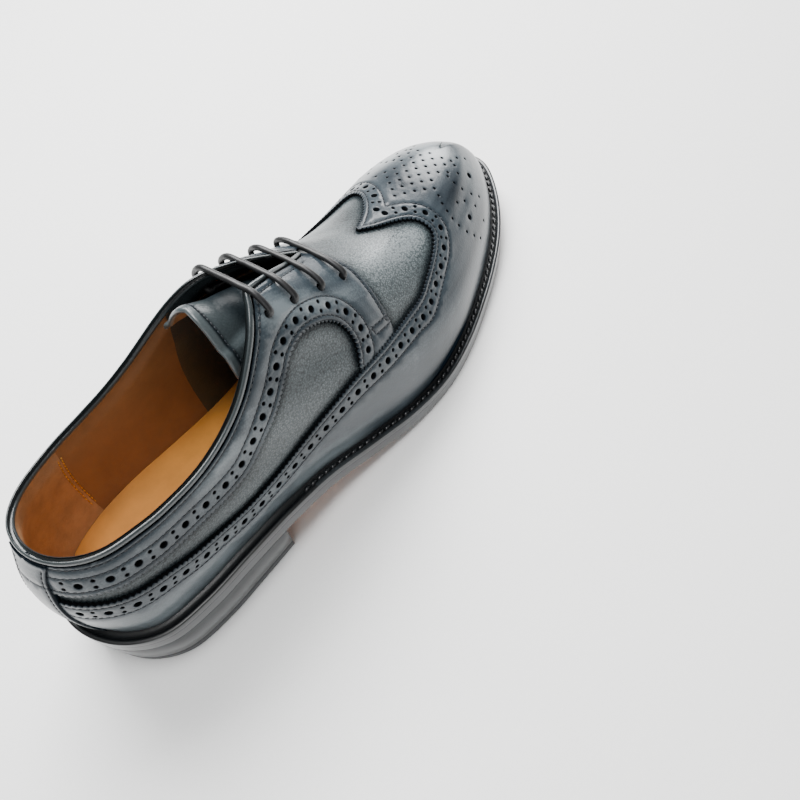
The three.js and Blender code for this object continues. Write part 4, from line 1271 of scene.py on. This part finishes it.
def rolled_lining(line, side):
    """Height of the lining: it rolls out to meet the edge of the collar."""
    below = (collar_up(line[..., 0], side) - (1 - np.abs(line[..., 1]))) * CHART_MM[1]
    return UPPER_INNER + ROLL_OUT * (1 - smooth_step(0.0, ROLL_WIDTH, below))


# How far the lining rolls out at the collar and over what width, in mm
ROLL_OUT = 1.7
ROLL_WIDTH = 6.0
# Stations where the suede grip ends, and where the tan lining gives way to the tongue's grey
# calf, so that the inside of the throat is darker
GRIP_END = 3.25
LINING_END = 5.7


class SHOE_OT_upper(bpy.types.Operator):
    """Vamp and quarters, lining and heel grip"""
    bl_idname = "shoe.upper"
    bl_label = "Upper and lining"

    def execute(self, context):
        shell, lining, sewn = Shell(), Shell(), Shell()
        for side in (1, -1):
            stations, chart = chart_rows(side)
            outside = spot(chart, UPPER_OUTER)
            rows, columns = outside.shape[:2]
            edges = np.concatenate([even(side_line(table, side), 1.0)
                                    for table in (WING, FACING_LOWER, FACING_FRONT)])
            # Painted shadow on the vamp beside the edges of the wing and facings that lie over it, and
            # the vamp's painted light
            painted_shading = (1.1 * beside(outside, place(edges[:, 0], edges[:, 1]), 3.0)
                    + hills(VAMP_PAINTED_LIGHT, chart[..., 0], chart[..., 1]))
            shell.add(outside, grid_faces(rows, columns, flip=side > 0), painted_shading.ravel(),
                      up=1 - np.abs(chart[..., 1].ravel()))
            within = spot(chart, rolled_lining(chart, side), False)
            faces = grid_faces(rows, columns, flip=side < 0)
            at = stations[faces.min(axis=1) // columns]
            lining.add(within, faces, 0.0, np.where(at < GRIP_END, 1, np.where(at > LINING_END, 2, 0)))
            edge = np.stack([np.full(30, GRIP_END + 0.02),
                             side * (1 - np.linspace(0.06, 0.36, 30))], axis=-1)
            for line in (edge, edge - [0.09, 0.0]):
                stitches(sewn, line, 2.2, lift=UPPER_INNER)
        shell.make("vamp_and_quarters", [MATERIALS["grain"]], "upper_leather", ["upper"],
                   weld=0.02)
        lining.make("lining", [MATERIALS["lining"], MATERIALS["suede"], MATERIALS["tongue"]],
                    "lining_leather", (), weld=0.02)
        sewn.make("grip_stitches", [MATERIALS["tan_thread"]], "lining_leather")
        return {"FINISHED"}


def sweep(shell, centres, outward, ahead, profile, shade=0.0, size=1.0):
    """Adds a profile swept along a path: profile columns are outward and ahead, in mm."""
    size = np.broadcast_to(size, (len(centres),))[:, None, None]
    points = (centres[:, None] + outward[:, None] * profile[None, :, 0, None] * size
              + ahead[:, None] * profile[None, :, 1, None] * size)
    shell.add(points, grid_faces(len(centres), len(profile)), shade)


# Section of the rolled edge, in mm outward and ahead
BINDING = np.array([
    [0.50, -1.85], [0.86, -1.78], [1.06, -1.45], [1.15, -0.95], [1.08, -0.35], [0.82, 0.2],
    [0.30, 0.58], [-0.35, 0.70], [-0.95, 0.60], [-1.45, 0.20], [-1.72, -0.40], [-1.78, -1.10],
    [-1.55, -1.70], [-1.10, -2.00],
])


class SHOE_OT_binding(bpy.types.Operator):
    """Rolled edge around the collar and down both sides of the throat"""
    bl_idname = "shoe.binding"
    bl_label = "Rolled collar edge"

    def execute(self, context):
        shell = Shell()
        halves = [even(side_line(COLLAR, side, number), 1.6) for side, number in ((1, 2), (-1, 1))]
        points = np.concatenate([place(*halves[0][::-1].T), place(*halves[1][1:].T)])
        up = np.concatenate([normals(*halves[0][::-1].T), normals(*halves[1][1:].T)])
        for _ in range(3):
            up[1:-1] = unit((up[:-2] + 2 * up[1:-1] + up[2:]) / 4)
        tangent = unit(np.gradient(points, axis=0))
        ahead = unit(np.cross(tangent, up))
        for _ in range(3):
            ahead[1:-1] = unit((ahead[:-2] + 2 * ahead[1:-1] + ahead[2:]) / 4)
        station = np.concatenate([halves[0][::-1, 0], halves[1][1:, 0]])
        sweep(shell, points, up, ahead, BINDING[::-1], size=1 - 0.3 * smooth_step(6.2, 6.9, station))
        shell.make("rolled_edge", [MATERIALS["binding"]], "upper_leather")
        return {"FINISHED"}


# Tongue: how far its top stands up, how thick its folded edge is, and b where it meets the lining
TOP_STAND = 2.4
FOLD_RISE = 0.45
TONGUE_SIDES = (0.31, 0.39)


def tongue_lift(a, b):
    """Height of the tongue under the last: it meets the lining beside the throat and its top
    stands up a little."""
    side = smooth_step(*TONGUE_SIDES, np.abs(b)) * (UPPER_INNER - 0.5 - TONGUE_OUTER)
    top = TOP_STAND * (1 - smooth_step(5.75, 6.35, a))
    return TONGUE_OUTER + np.maximum(side, top)


class SHOE_OT_tongue(bpy.types.Operator):
    """Tongue with its folded and stitched top edge"""
    bl_idname = "shoe.tongue"
    bl_label = "Tongue"

    def execute(self, context):
        line = spline(TONGUE)
        edge = spline(TONGUE_TOP)
        stations = np.concatenate([np.linspace(TONGUE[0, 0], 6.1, 24), np.linspace(6.15, 8.95, 50)])
        half = np.interp(stations, line[:, 0], 1 - line[:, 1])
        share = np.linspace(-1, 1, 61)
        fade = np.clip((6.8 - stations) / (6.8 - stations[0]), 0, 1)[:, None]
        b = half[:, None] * share[None]
        b = b * np.where(b < 0, 1 + 0.2 * fade, 1.0)
        top_edge = np.interp(b, edge[:, 0], edge[:, 1])
        a = stations[:, None] + (top_edge - stations[0]) * fade
        from_edge = (a - top_edge) * TONGUE_STATION
        fold = FOLD_RISE * (1 - smooth_step(2.2, 3.0, from_edge))
        sheet_line = np.stack([a, b], axis=-1)
        lift = tongue_lift(a, b)
        top = spot(sheet_line, lift + fold, False)
        under = spot(sheet_line, lift - TONGUE_THICKNESS + 0.6, False)
        rows, columns = top.shape[:2]
        # Shade of the tongue: deeper overall, lighter along its folded edge, deeper in a line under
        # its stitches, and painted shade further down in the throat, under the lace and facings
        shade = (0.35 - 0.4 * (1 - smooth_step(1.6, 2.6, from_edge))
                 + 0.8 * np.exp(-(from_edge - 3.0) ** 2) + 0.6 * smooth_step(5.95, 6.5, a))
        shell = Shell()
        shell.add(top, grid_faces(rows, columns), shade.ravel())
        shell.add(under, grid_faces(rows, columns, flip=True), 0.0, 1)
        middle = (top[0] + under[0]) / 2
        back = unit(top[0] - top[1])
        up = unit(top[0] - under[0])
        angle = np.linspace(-np.pi / 2, np.pi / 2, 7)
        radius = np.linalg.norm(top[0] - under[0], axis=1).mean() / 2
        profile = np.stack([radius * np.sin(angle), radius * np.cos(angle)], axis=-1)
        sweep(shell, middle, up, back, profile, -0.2)
        for column_number, flip in ((0, False), (columns - 1, True)):
            wall = np.stack([top[:, column_number], under[:, column_number]], axis=1)
            shell.add(wall, grid_faces(rows, 2, flip=flip))
        shell.make("tongue_leather", [MATERIALS["tongue"], MATERIALS["lining"]],
                   "tongue_leather", ["tongue"])
        sewn = Shell()
        across = np.linspace(-0.44, 0.37, 40)
        seam = np.stack([np.interp(across, edge[:, 0], edge[:, 1]) + 0.145, across], axis=-1)
        stitches(sewn, seam, 2.2, lift=0.1, rise=lambda p: tongue_lift(p[:, 0], p[:, 1]))
        sewn.make("tongue_stitches", [MATERIALS["thread"]], "tongue_leather")
        return {"FINISHED"}


def tube(shell, path, radius):
    """Adds a round cord along a path, its section carried without twist."""
    sides = 12
    tangent = unit(np.gradient(path, axis=0))
    across = np.zeros_like(path)
    first = np.cross(tangent[0], [0.0, 0.0, 1.0])
    across[0] = first / np.linalg.norm(first)
    for k in range(1, len(path)):
        turned = across[k - 1] - tangent[k] * np.dot(across[k - 1], tangent[k])
        across[k] = turned / np.linalg.norm(turned)
    up = np.cross(tangent, across)
    angle = np.linspace(0, 2 * np.pi, sides, endpoint=False)
    points = (path[:, None] + radius * np.cos(angle)[None, :, None] * across[:, None]
              + radius * np.sin(angle)[None, :, None] * up[:, None])
    shell.add(points, grid_faces(len(path), sides, flip=True, closed=True))
    for ring, flip in ((points[0], False), (points[-1], True)):
        fan = [[sides, k, (k + 1) % sides] for k in range(sides)]
        fan = [face[::-1] for face in fan] if flip else fan
        shell.add(np.concatenate([ring, ring.mean(axis=0)[None]]), fan)


# A crossing of the lace: where it leaves the leather, as a share of its reach, and its rise in mm
CROSSING_REACH = 0.66
CROSSING_RISE = 0.9


def lace_path():
    """The lace crosses the throat at each pair of eyelets and runs under the facings between."""
    radius = LACE_DIAMETER / 2
    over = OVERLAY_OUTER + radius + LACE_CLEARANCE
    under = UPPER_INNER - radius - LACE_CLEARANCE / 2
    path = []

    def point(station, b, offset):
        path.append(spot(np.array([[station, b]]), offset, False)[0])

    for k, (station, up) in enumerate(EYELETS):
        start = -1 if k % 2 == 0 else 1
        reach = 1 - up
        point(station, start * reach, under)
        point(station, start * reach, over - 0.5)
        point(station, start * CROSSING_REACH * reach, over)
        near = path[-1]
        far = spot(np.array([[station, -start * CROSSING_REACH * reach]]), over, False)[0]
        for share in (0.3, 0.5, 0.7):
            flat = near + (far - near) * share
            path.append(flat + np.array([0.0, 0.0, CROSSING_RISE * math.sin(math.pi * share)]))
        path.append(far)
        point(station, -start * reach, over - 0.5)
        point(station, -start * reach, under)
        if k < len(EYELETS) - 1:
            ahead, ahead_up = EYELETS[k + 1]
            for share in (0.2, 0.5, 0.8):
                point(station + share * (ahead - station),
                      -start * (1 - (up + share * (ahead_up - up))), under)
    tail = 1 - EYELETS[0, 1] + 0.12
    for k in range(1, 6):
        share = k / 5
        point(EYELETS[-1, 0] + share * (EYELETS[0, 0] - EYELETS[-1, 0]), -tail, under)
    return np.array(path)


class SHOE_OT_lace(bpy.types.Operator):
    """Round waxed lace through the four pairs of eyelets"""
    bl_idname = "shoe.lace"
    bl_label = "Lace"

    def execute(self, context):
        shell = Shell()
        points = lace_path()
        ends = 2 * points[[0, -1]] - points[[1, -2]]
        path = smooth_rows(np.concatenate([ends[:1], points, ends[1:]]), 8)
        tube(shell, path, LACE_DIAMETER / 2 - LACE_SQUEEZE)
        shell.make("waxed_lace", [MATERIALS["lace"]], "lace_cotton", ["lace"])
        return {"FINISHED"}


def loop_stations(step=0.125):
    """Stations and sides once round the sole, outer side first."""
    stations = np.arange(0, END + step / 2, step)
    return (np.concatenate([stations, stations[-2:0:-1]]),
            np.concatenate([-np.ones(len(stations)), np.ones(len(stations) - 2)]))


def sole_ring(inset, height, level):
    """Ring round the sole: inset in mm from its edge and height over a level function."""
    stations, sides = loop_stations()
    x, y = inset_edge(stations, sides, inset)
    return np.stack([x, y, level(x) + height], axis=-1) + ORIGIN


def ring_stack(shell, rings, shade=0.0, number=0):
    """Adds a skin through closed rings."""
    points = np.stack(rings)
    shell.add(points, grid_faces(len(rings), points.shape[1], closed=True, flip=True),
              shade, number)


def cap_rows(stations, inset, height, level, spans):
    """Grid across the sole between its inner and outer edges."""
    outer, inner = (np.stack(inset_edge(stations, np.full(len(stations), side), inset), axis=-1)
                    for side in (-1.0, 1.0))
    share = np.linspace(0, 1, spans + 1)[:, None]
    across = outer[:, None] + (inner - outer)[:, None] * share
    return np.concatenate([across, level(across[..., :1]) + height], axis=-1) + ORIGIN


def welt_level(x):
    """Height of the welt's underside."""
    return underside(x) + OUTSOLE_THICKNESS + PIECE_GAP


# Profiles of outsole and welt: inset from the sole's edge and height, in mm
SOLE_EDGE = ((1.2, 5.78), (0.06, 5.78), (0.0, 5.7), (0.0, 5.2), (0.0, 2.75), (0.0, 0.5),
             (0.04, 0.15), (0.15, 0.03), (0.7, 0.0))
WELT_CHANNEL = ((9.0, 3.2), (6.0, 3.35), (4.9, 3.1), (4.2, 2.8), (2.6, 2.8), (2.0, 3.2))
WELT_LIP = ((2.0, 3.2), (1.7, 3.55), (1.1, 3.62), (0.45, 3.56), (0.08, 3.3), (-0.03, 2.9),
            (-0.03, 0.3), (0.0, 0.08), (0.06, 0.0))
# Underside of the outsole: inset and how much of the border's ink lies there
SOLE_BORDER = ((0.7, 1.0), (2.5, 1.0), (4.6, 1.0), (5.0, 0.9), (5.4, 0.1), (5.8, 0.0), (8.0, 0.0))
# Welt, along the sole in mm: its top is black behind the first, and sewn ahead of the second
WELT_GREY_FROM = 96.0
WELT_SEWN_FROM = 92.0
# Threads of the welt in mm, and the share of a stitch that each is long
WELT_THREAD_RINGS = np.array([
    [-0.5, 0.45, 0.3375, -0.35], [-0.32, 0.95, 0.7125, 0.0], [0.0, 1.05, 0.7875, 0.125],
    [0.32, 0.95, 0.7125, 0.0], [0.5, 0.45, 0.3375, -0.35],
])
WELT_THREAD_SHARE = 0.86


class SHOE_OT_soles(bpy.types.Operator):
    """Outsole, welt, heel, top piece and insole sock"""
    bl_idname = "shoe.soles"
    bl_label = "Soles and heel"

    def execute(self, context):
        sizes = context.scene.shoe_sizes
        stations = np.arange(0, END + 0.06, 0.125)
        sole = Shell()
        ring_stack(sole, [sole_ring(inset, height, underside) for inset, height in SOLE_EDGE], 1.0, 1)
        rings = np.stack([sole_ring(inset, 0.0, underside) for inset, _ in SOLE_BORDER])
        shade = np.repeat([ink for _, ink in SOLE_BORDER], rings.shape[1])
        sole.add(rings, grid_faces(*rings.shape[:2], closed=True, flip=True), shade)
        middle = cap_rows(stations, SOLE_BORDER[-1][0], 0.0, underside, 12)
        sole.add(middle, grid_faces(len(stations), 13, flip=True))
        sole.make("leather_outsole", [MATERIALS["sole"], MATERIALS["edge"]], "sole_leather",
                  ["outsole"], weld=0.01)

        welt = Shell()
        channel, lip = ([sole_ring(inset, height, welt_level) for inset, height in rows]
                        for rows in (WELT_CHANNEL, WELT_LIP))
        ring_stack(welt, channel)
        inked = (lip[0][:, 0] - ORIGIN[0] > WELT_GREY_FROM).astype(int)
        ring_stack(welt, lip, 0.0, np.concatenate([inked] * 4 + [np.ones_like(inked)] * 4))
        welt.make("stitched_welt", [MATERIALS["welt"], MATERIALS["edge"]], "welt_leather",
                  ["welt"])
        self.welt_stitches(sizes)
        self.heel(stations)
        self.sock(stations)
        return {"FINISHED"}

    def welt_stitches(self, sizes):
        """Lockstitch round the forefoot, sunk in the channel of the welt."""
        stations, sides = loop_stations(0.05)
        x, y = inset_edge(stations, sides, 3.1)
        path = np.stack([x, y, welt_level(x) + 2.95], axis=-1) + ORIGIN
        from_start = np.abs(path[:, 0] - ORIGIN[0] - WELT_SEWN_FROM)
        start, stop = (np.argmin(from_start + 100 * (sides * side > 0)) for side in (1, -1))
        path = path[start:stop]
        run = np.concatenate([[0], np.cumsum(np.linalg.norm(np.diff(path, axis=0), axis=1))])
        pitch = sizes.welt_stitch / MM
        count = int(run[-1] / pitch)
        at = (np.arange(count) + 0.5) * run[-1] / count
        centre, ahead = (np.stack([np.interp(place_on, run, path[:, k]) for k in range(3)], axis=-1)
                         for place_on in (at, at + 0.5))
        up = np.tile([0.0, 0.0, 1.0], (count, 1))
        along = unit(ahead - centre)
        slanted = unit(0.94 * along + 0.34 * unit(np.cross(up, along)))
        shell = Shell()
        size = np.array([pitch * WELT_THREAD_SHARE, 1.0, 1.0, 1.0])
        threads(shell, centre, slanted, up, WELT_THREAD_RINGS * size, 8)
        shell.make("welt_stitches", [MATERIALS["welt_thread"]], "welt_leather")

    def heel(self, stations):
        """Stacked heel with rounded edges and a rubber top piece."""
        breast = SOLE_LENGTH * HEEL_BREAST_SHARE
        end = np.interp(breast, sole_edge(stations, np.ones(len(stations)))[0], stations)
        count = 36
        ends = np.linspace(0, end, count)

        def level_ring(inset, height):
            outer = self.heel_side(ends, -1.0, inset, height)
            inner = self.heel_side(ends, 1.0, inset, height)
            f = np.linspace(0, 1, 14)[1:-1, None]
            front = outer[-1] + (inner[-1] - outer[-1]) * f
            ring = np.concatenate([outer, front, inner[::-1][:-1]])
            ring[count - 1:count + 13, 0] -= inset
            return ring + ORIGIN

        def skin(shell, rows):
            ring_stack(shell, [level_ring(inset, height) for inset, height in rows])

        stack, rubber = Shell(), Shell()
        base = TOP_PIECE_THICKNESS + PIECE_GAP
        skin(stack, [(0.2, None), (0.05, None), (0.0, -0.06), (0.0, base + 6.0),
                     (0.0, base + 0.06), (0.06, base)])
        skin(stack, [(0.06, base), (10.0, base)])
        stack.make("heel_block", [MATERIALS["edge"]], "heel_leather", ["heel_stack"])
        top = base - 0.02
        skin(rubber, [(1.2, top), (0.06, top), (0.0, top - 0.06), (0.0, 0.5), (0.5, 0.0)])
        outline = level_ring(0.5, 0.0)
        centre = np.array([[outline[:, 0].mean(), outline[:, 1].mean(), 0.0]])
        size = len(outline)
        rubber.add(np.concatenate([outline, centre]),
                   [[size, (k + 1) % size, k] for k in range(size)])
        rubber.make("rubber_top_piece", [MATERIALS["rubber"]], "heel_rubber", ["top_piece"])

    def heel_side(self, stations, side, inset, height):
        """One side of the heel at a height; none is the top and below zero is under the top."""
        x, y = inset_edge(stations, np.full(len(stations), side), inset)
        top = underside(x) - 0.02
        z = top if height is None else (top + height if height < 0 else np.full(len(x), height))
        share = 1 - z / top
        return np.stack([
            x + share * (SOLE_LENGTH * HEEL_SET_IN - x * (1 - HEEL_TAPER) * HEEL_BREAST_SHARE),
            y * (1 - share * (1 - HEEL_TAPER)), z], axis=-1)

    def sock(self, stations):
        """Full-length sock over the insole."""
        inset = WELT_WIDTH - UPPER_INNER + 2 * PIECE_GAP
        shell = Shell()
        top = cap_rows(stations, inset - 0.9, INSOLE_THICKNESS + 0.2, foot_level, 16)
        shell.add(top, grid_faces(len(stations), 17))
        shell.make("insole_sock", [MATERIALS["sock"]], "lining_leather", ["insole"])


# Camera as fitted to the photograph: turn and height over the shoe and roll in degrees, place
# that it looks at and distance from it in mm, where that lies in the frame and the focal length
# in pixels of an 800 x 800 frame
CAMERA_TURN = -128.0243
CAMERA_HEIGHT = 53.0190
CAMERA_ROLL = -18.9768
CAMERA_TARGET = np.array([150.0, 0.0, 40.0])
CAMERA_DISTANCE = 350.286
TARGET_IN_FRAME = (305.195, 332.402)
FOCAL_PIXELS = 786.321
FRAME_PIXELS = 800
SENSOR_MM = 36.0

# Soft lights: name, place, aim and size in mm, and power in watts
SOFTBOXES = (
    ("key_softbox", (260, 400, 760), (20, 0, 40), (620, 460), 21.0),
    ("front_softbox", (880, 260, 330), (100, 0, 30), (420, 320), 6.0),
    ("side_softbox", (-650, -420, 380), (0, 0, 40), (420, 420), 1.3),
    ("top_softbox", (-130, -30, 800), (-70, 0, 30), (260, 260), 5.0),
)


def turned_view():
    """Place of the camera in mm and its axes: right, up and forward."""
    azimuth, elevation, roll = (math.radians(angle)
                                for angle in (CAMERA_TURN, CAMERA_HEIGHT, CAMERA_ROLL))
    middle = FRAME_PIXELS / 2
    target = CAMERA_TARGET + ORIGIN
    away = np.array([math.cos(elevation) * math.cos(azimuth),
                     math.cos(elevation) * math.sin(azimuth), math.sin(elevation)])
    eye = target + away * CAMERA_DISTANCE
    forward = -away
    right = unit(np.cross(forward, [0.0, 0.0, 1.0]))
    up = np.cross(right, forward)
    c, s = math.cos(roll), math.sin(roll)
    base = np.stack([c * right + s * up, -s * right + c * up, forward])
    toward = unit(np.array([(TARGET_IN_FRAME[0] - middle) / FOCAL_PIXELS,
                            (middle - TARGET_IN_FRAME[1]) / FOCAL_PIXELS, 1.0]))
    axis = np.cross([0.0, 0.0, 1.0], toward)
    sine, cosine = np.linalg.norm(axis), toward[2]
    k = axis / sine
    cross = np.array([[0, -k[2], k[1]], [k[2], 0, -k[0]], [-k[1], k[0], 0]])
    turn = np.eye(3) + sine * cross + (1 - cosine) * cross @ cross
    return eye, turn @ base


def add_softbox(name, place_mm, aim_mm, size_mm, power):
    """Adds a rectangular area light that faces its aim."""
    data = bpy.data.lights.new(name, "AREA")
    data.shape = "RECTANGLE"
    data.size, data.size_y = size_mm[0] * MM, size_mm[1] * MM
    data.energy = power
    light = bpy.data.objects.new(name, data)
    light.location = Vector(place_mm) * MM
    aim = Vector(aim_mm) * MM - light.location
    light.rotation_euler = aim.to_track_quat("-Z", "Y").to_euler()
    bpy.context.scene.collection.objects.link(light)


class SHOE_OT_stage(bpy.types.Operator):
    """Pale floor, soft lights and the camera"""
    bl_idname = "shoe.stage"
    bl_label = "Floor, lights and camera"

    def execute(self, context):
        half, level = 4.0, -0.0002
        mesh = bpy.data.meshes.new("floor")
        mesh.from_pydata([(x * half, y * half, level) for x, y in
                          ((-1, -1), (1, -1), (1, 1), (-1, 1))], [], [(0, 1, 2, 3)])
        mesh.materials.append(MATERIALS["floor"])
        floor = bpy.data.objects.new("floor", mesh)
        context.scene.collection.objects.link(floor)

        world = bpy.data.worlds.new("studio")
        world.use_nodes = True
        background = world.node_tree.nodes["Background"]
        background.inputs["Color"].default_value = linear("#f4f6f8")
        background.inputs["Strength"].default_value = 0.30
        context.scene.world = world
        for softbox in SOFTBOXES:
            add_softbox(*softbox)

        eye, (right, up, forward) = turned_view()
        data = bpy.data.cameras.new("camera")
        data.sensor_width = SENSOR_MM
        data.lens = SENSOR_MM * FOCAL_PIXELS / FRAME_PIXELS
        data.clip_start, data.clip_end = 0.02, 20.0
        camera = bpy.data.objects.new("camera", data)
        axes = np.stack([right, up, -forward, eye * MM], axis=-1).tolist()
        camera.matrix_world = Matrix(axes + [[0, 0, 0, 1]])
        context.scene.collection.objects.link(camera)
        context.scene.camera = camera
        return {"FINISHED"}


class SHOE_PT_panel(bpy.types.Panel):
    """Lists the steps that build the shoe"""
    bl_idname = "SHOE_PT_panel"
    bl_label = "Longwing brogue"
    bl_space_type = "VIEW_3D"
    bl_region_type = "UI"
    bl_category = "Shoe"

    def draw(self, context):
        for name in ShoeSizes.__annotations__:
            self.layout.prop(context.scene.shoe_sizes, name)
        for name in ShoeColours.__annotations__:
            self.layout.prop(context.scene.shoe_colours, name)
        for operator in OPERATORS:
            self.layout.operator(operator.bl_idname)


OPERATORS = (SHOE_OT_stage, SHOE_OT_soles, SHOE_OT_upper, SHOE_OT_wing, SHOE_OT_facings,
             SHOE_OT_back_strip, SHOE_OT_binding, SHOE_OT_tongue, SHOE_OT_lace)
CLASSES = (ShoeSizes, ShoeColours) + OPERATORS + (SHOE_PT_panel,)


def register():
    """Adds the classes and the settings that the panel shows."""
    for item in CLASSES:
        bpy.utils.register_class(item)
    bpy.types.Scene.shoe_sizes = PointerProperty(type=ShoeSizes)
    bpy.types.Scene.shoe_colours = PointerProperty(type=ShoeColours)


def unregister():
    del bpy.types.Scene.shoe_colours
    del bpy.types.Scene.shoe_sizes
    for item in reversed(CLASSES):
        bpy.utils.unregister_class(item)


def main():
    """Builds the shoe and its stage."""
    register()
    make_materials()
    bpy.ops.shoe.stage()
    bpy.ops.shoe.soles()
    bpy.ops.shoe.upper()
    bpy.ops.shoe.wing()
    bpy.ops.shoe.facings()
    bpy.ops.shoe.back_strip()
    bpy.ops.shoe.binding()
    bpy.ops.shoe.tongue()
    bpy.ops.shoe.lace()


if __name__ == "__main__":
    main()
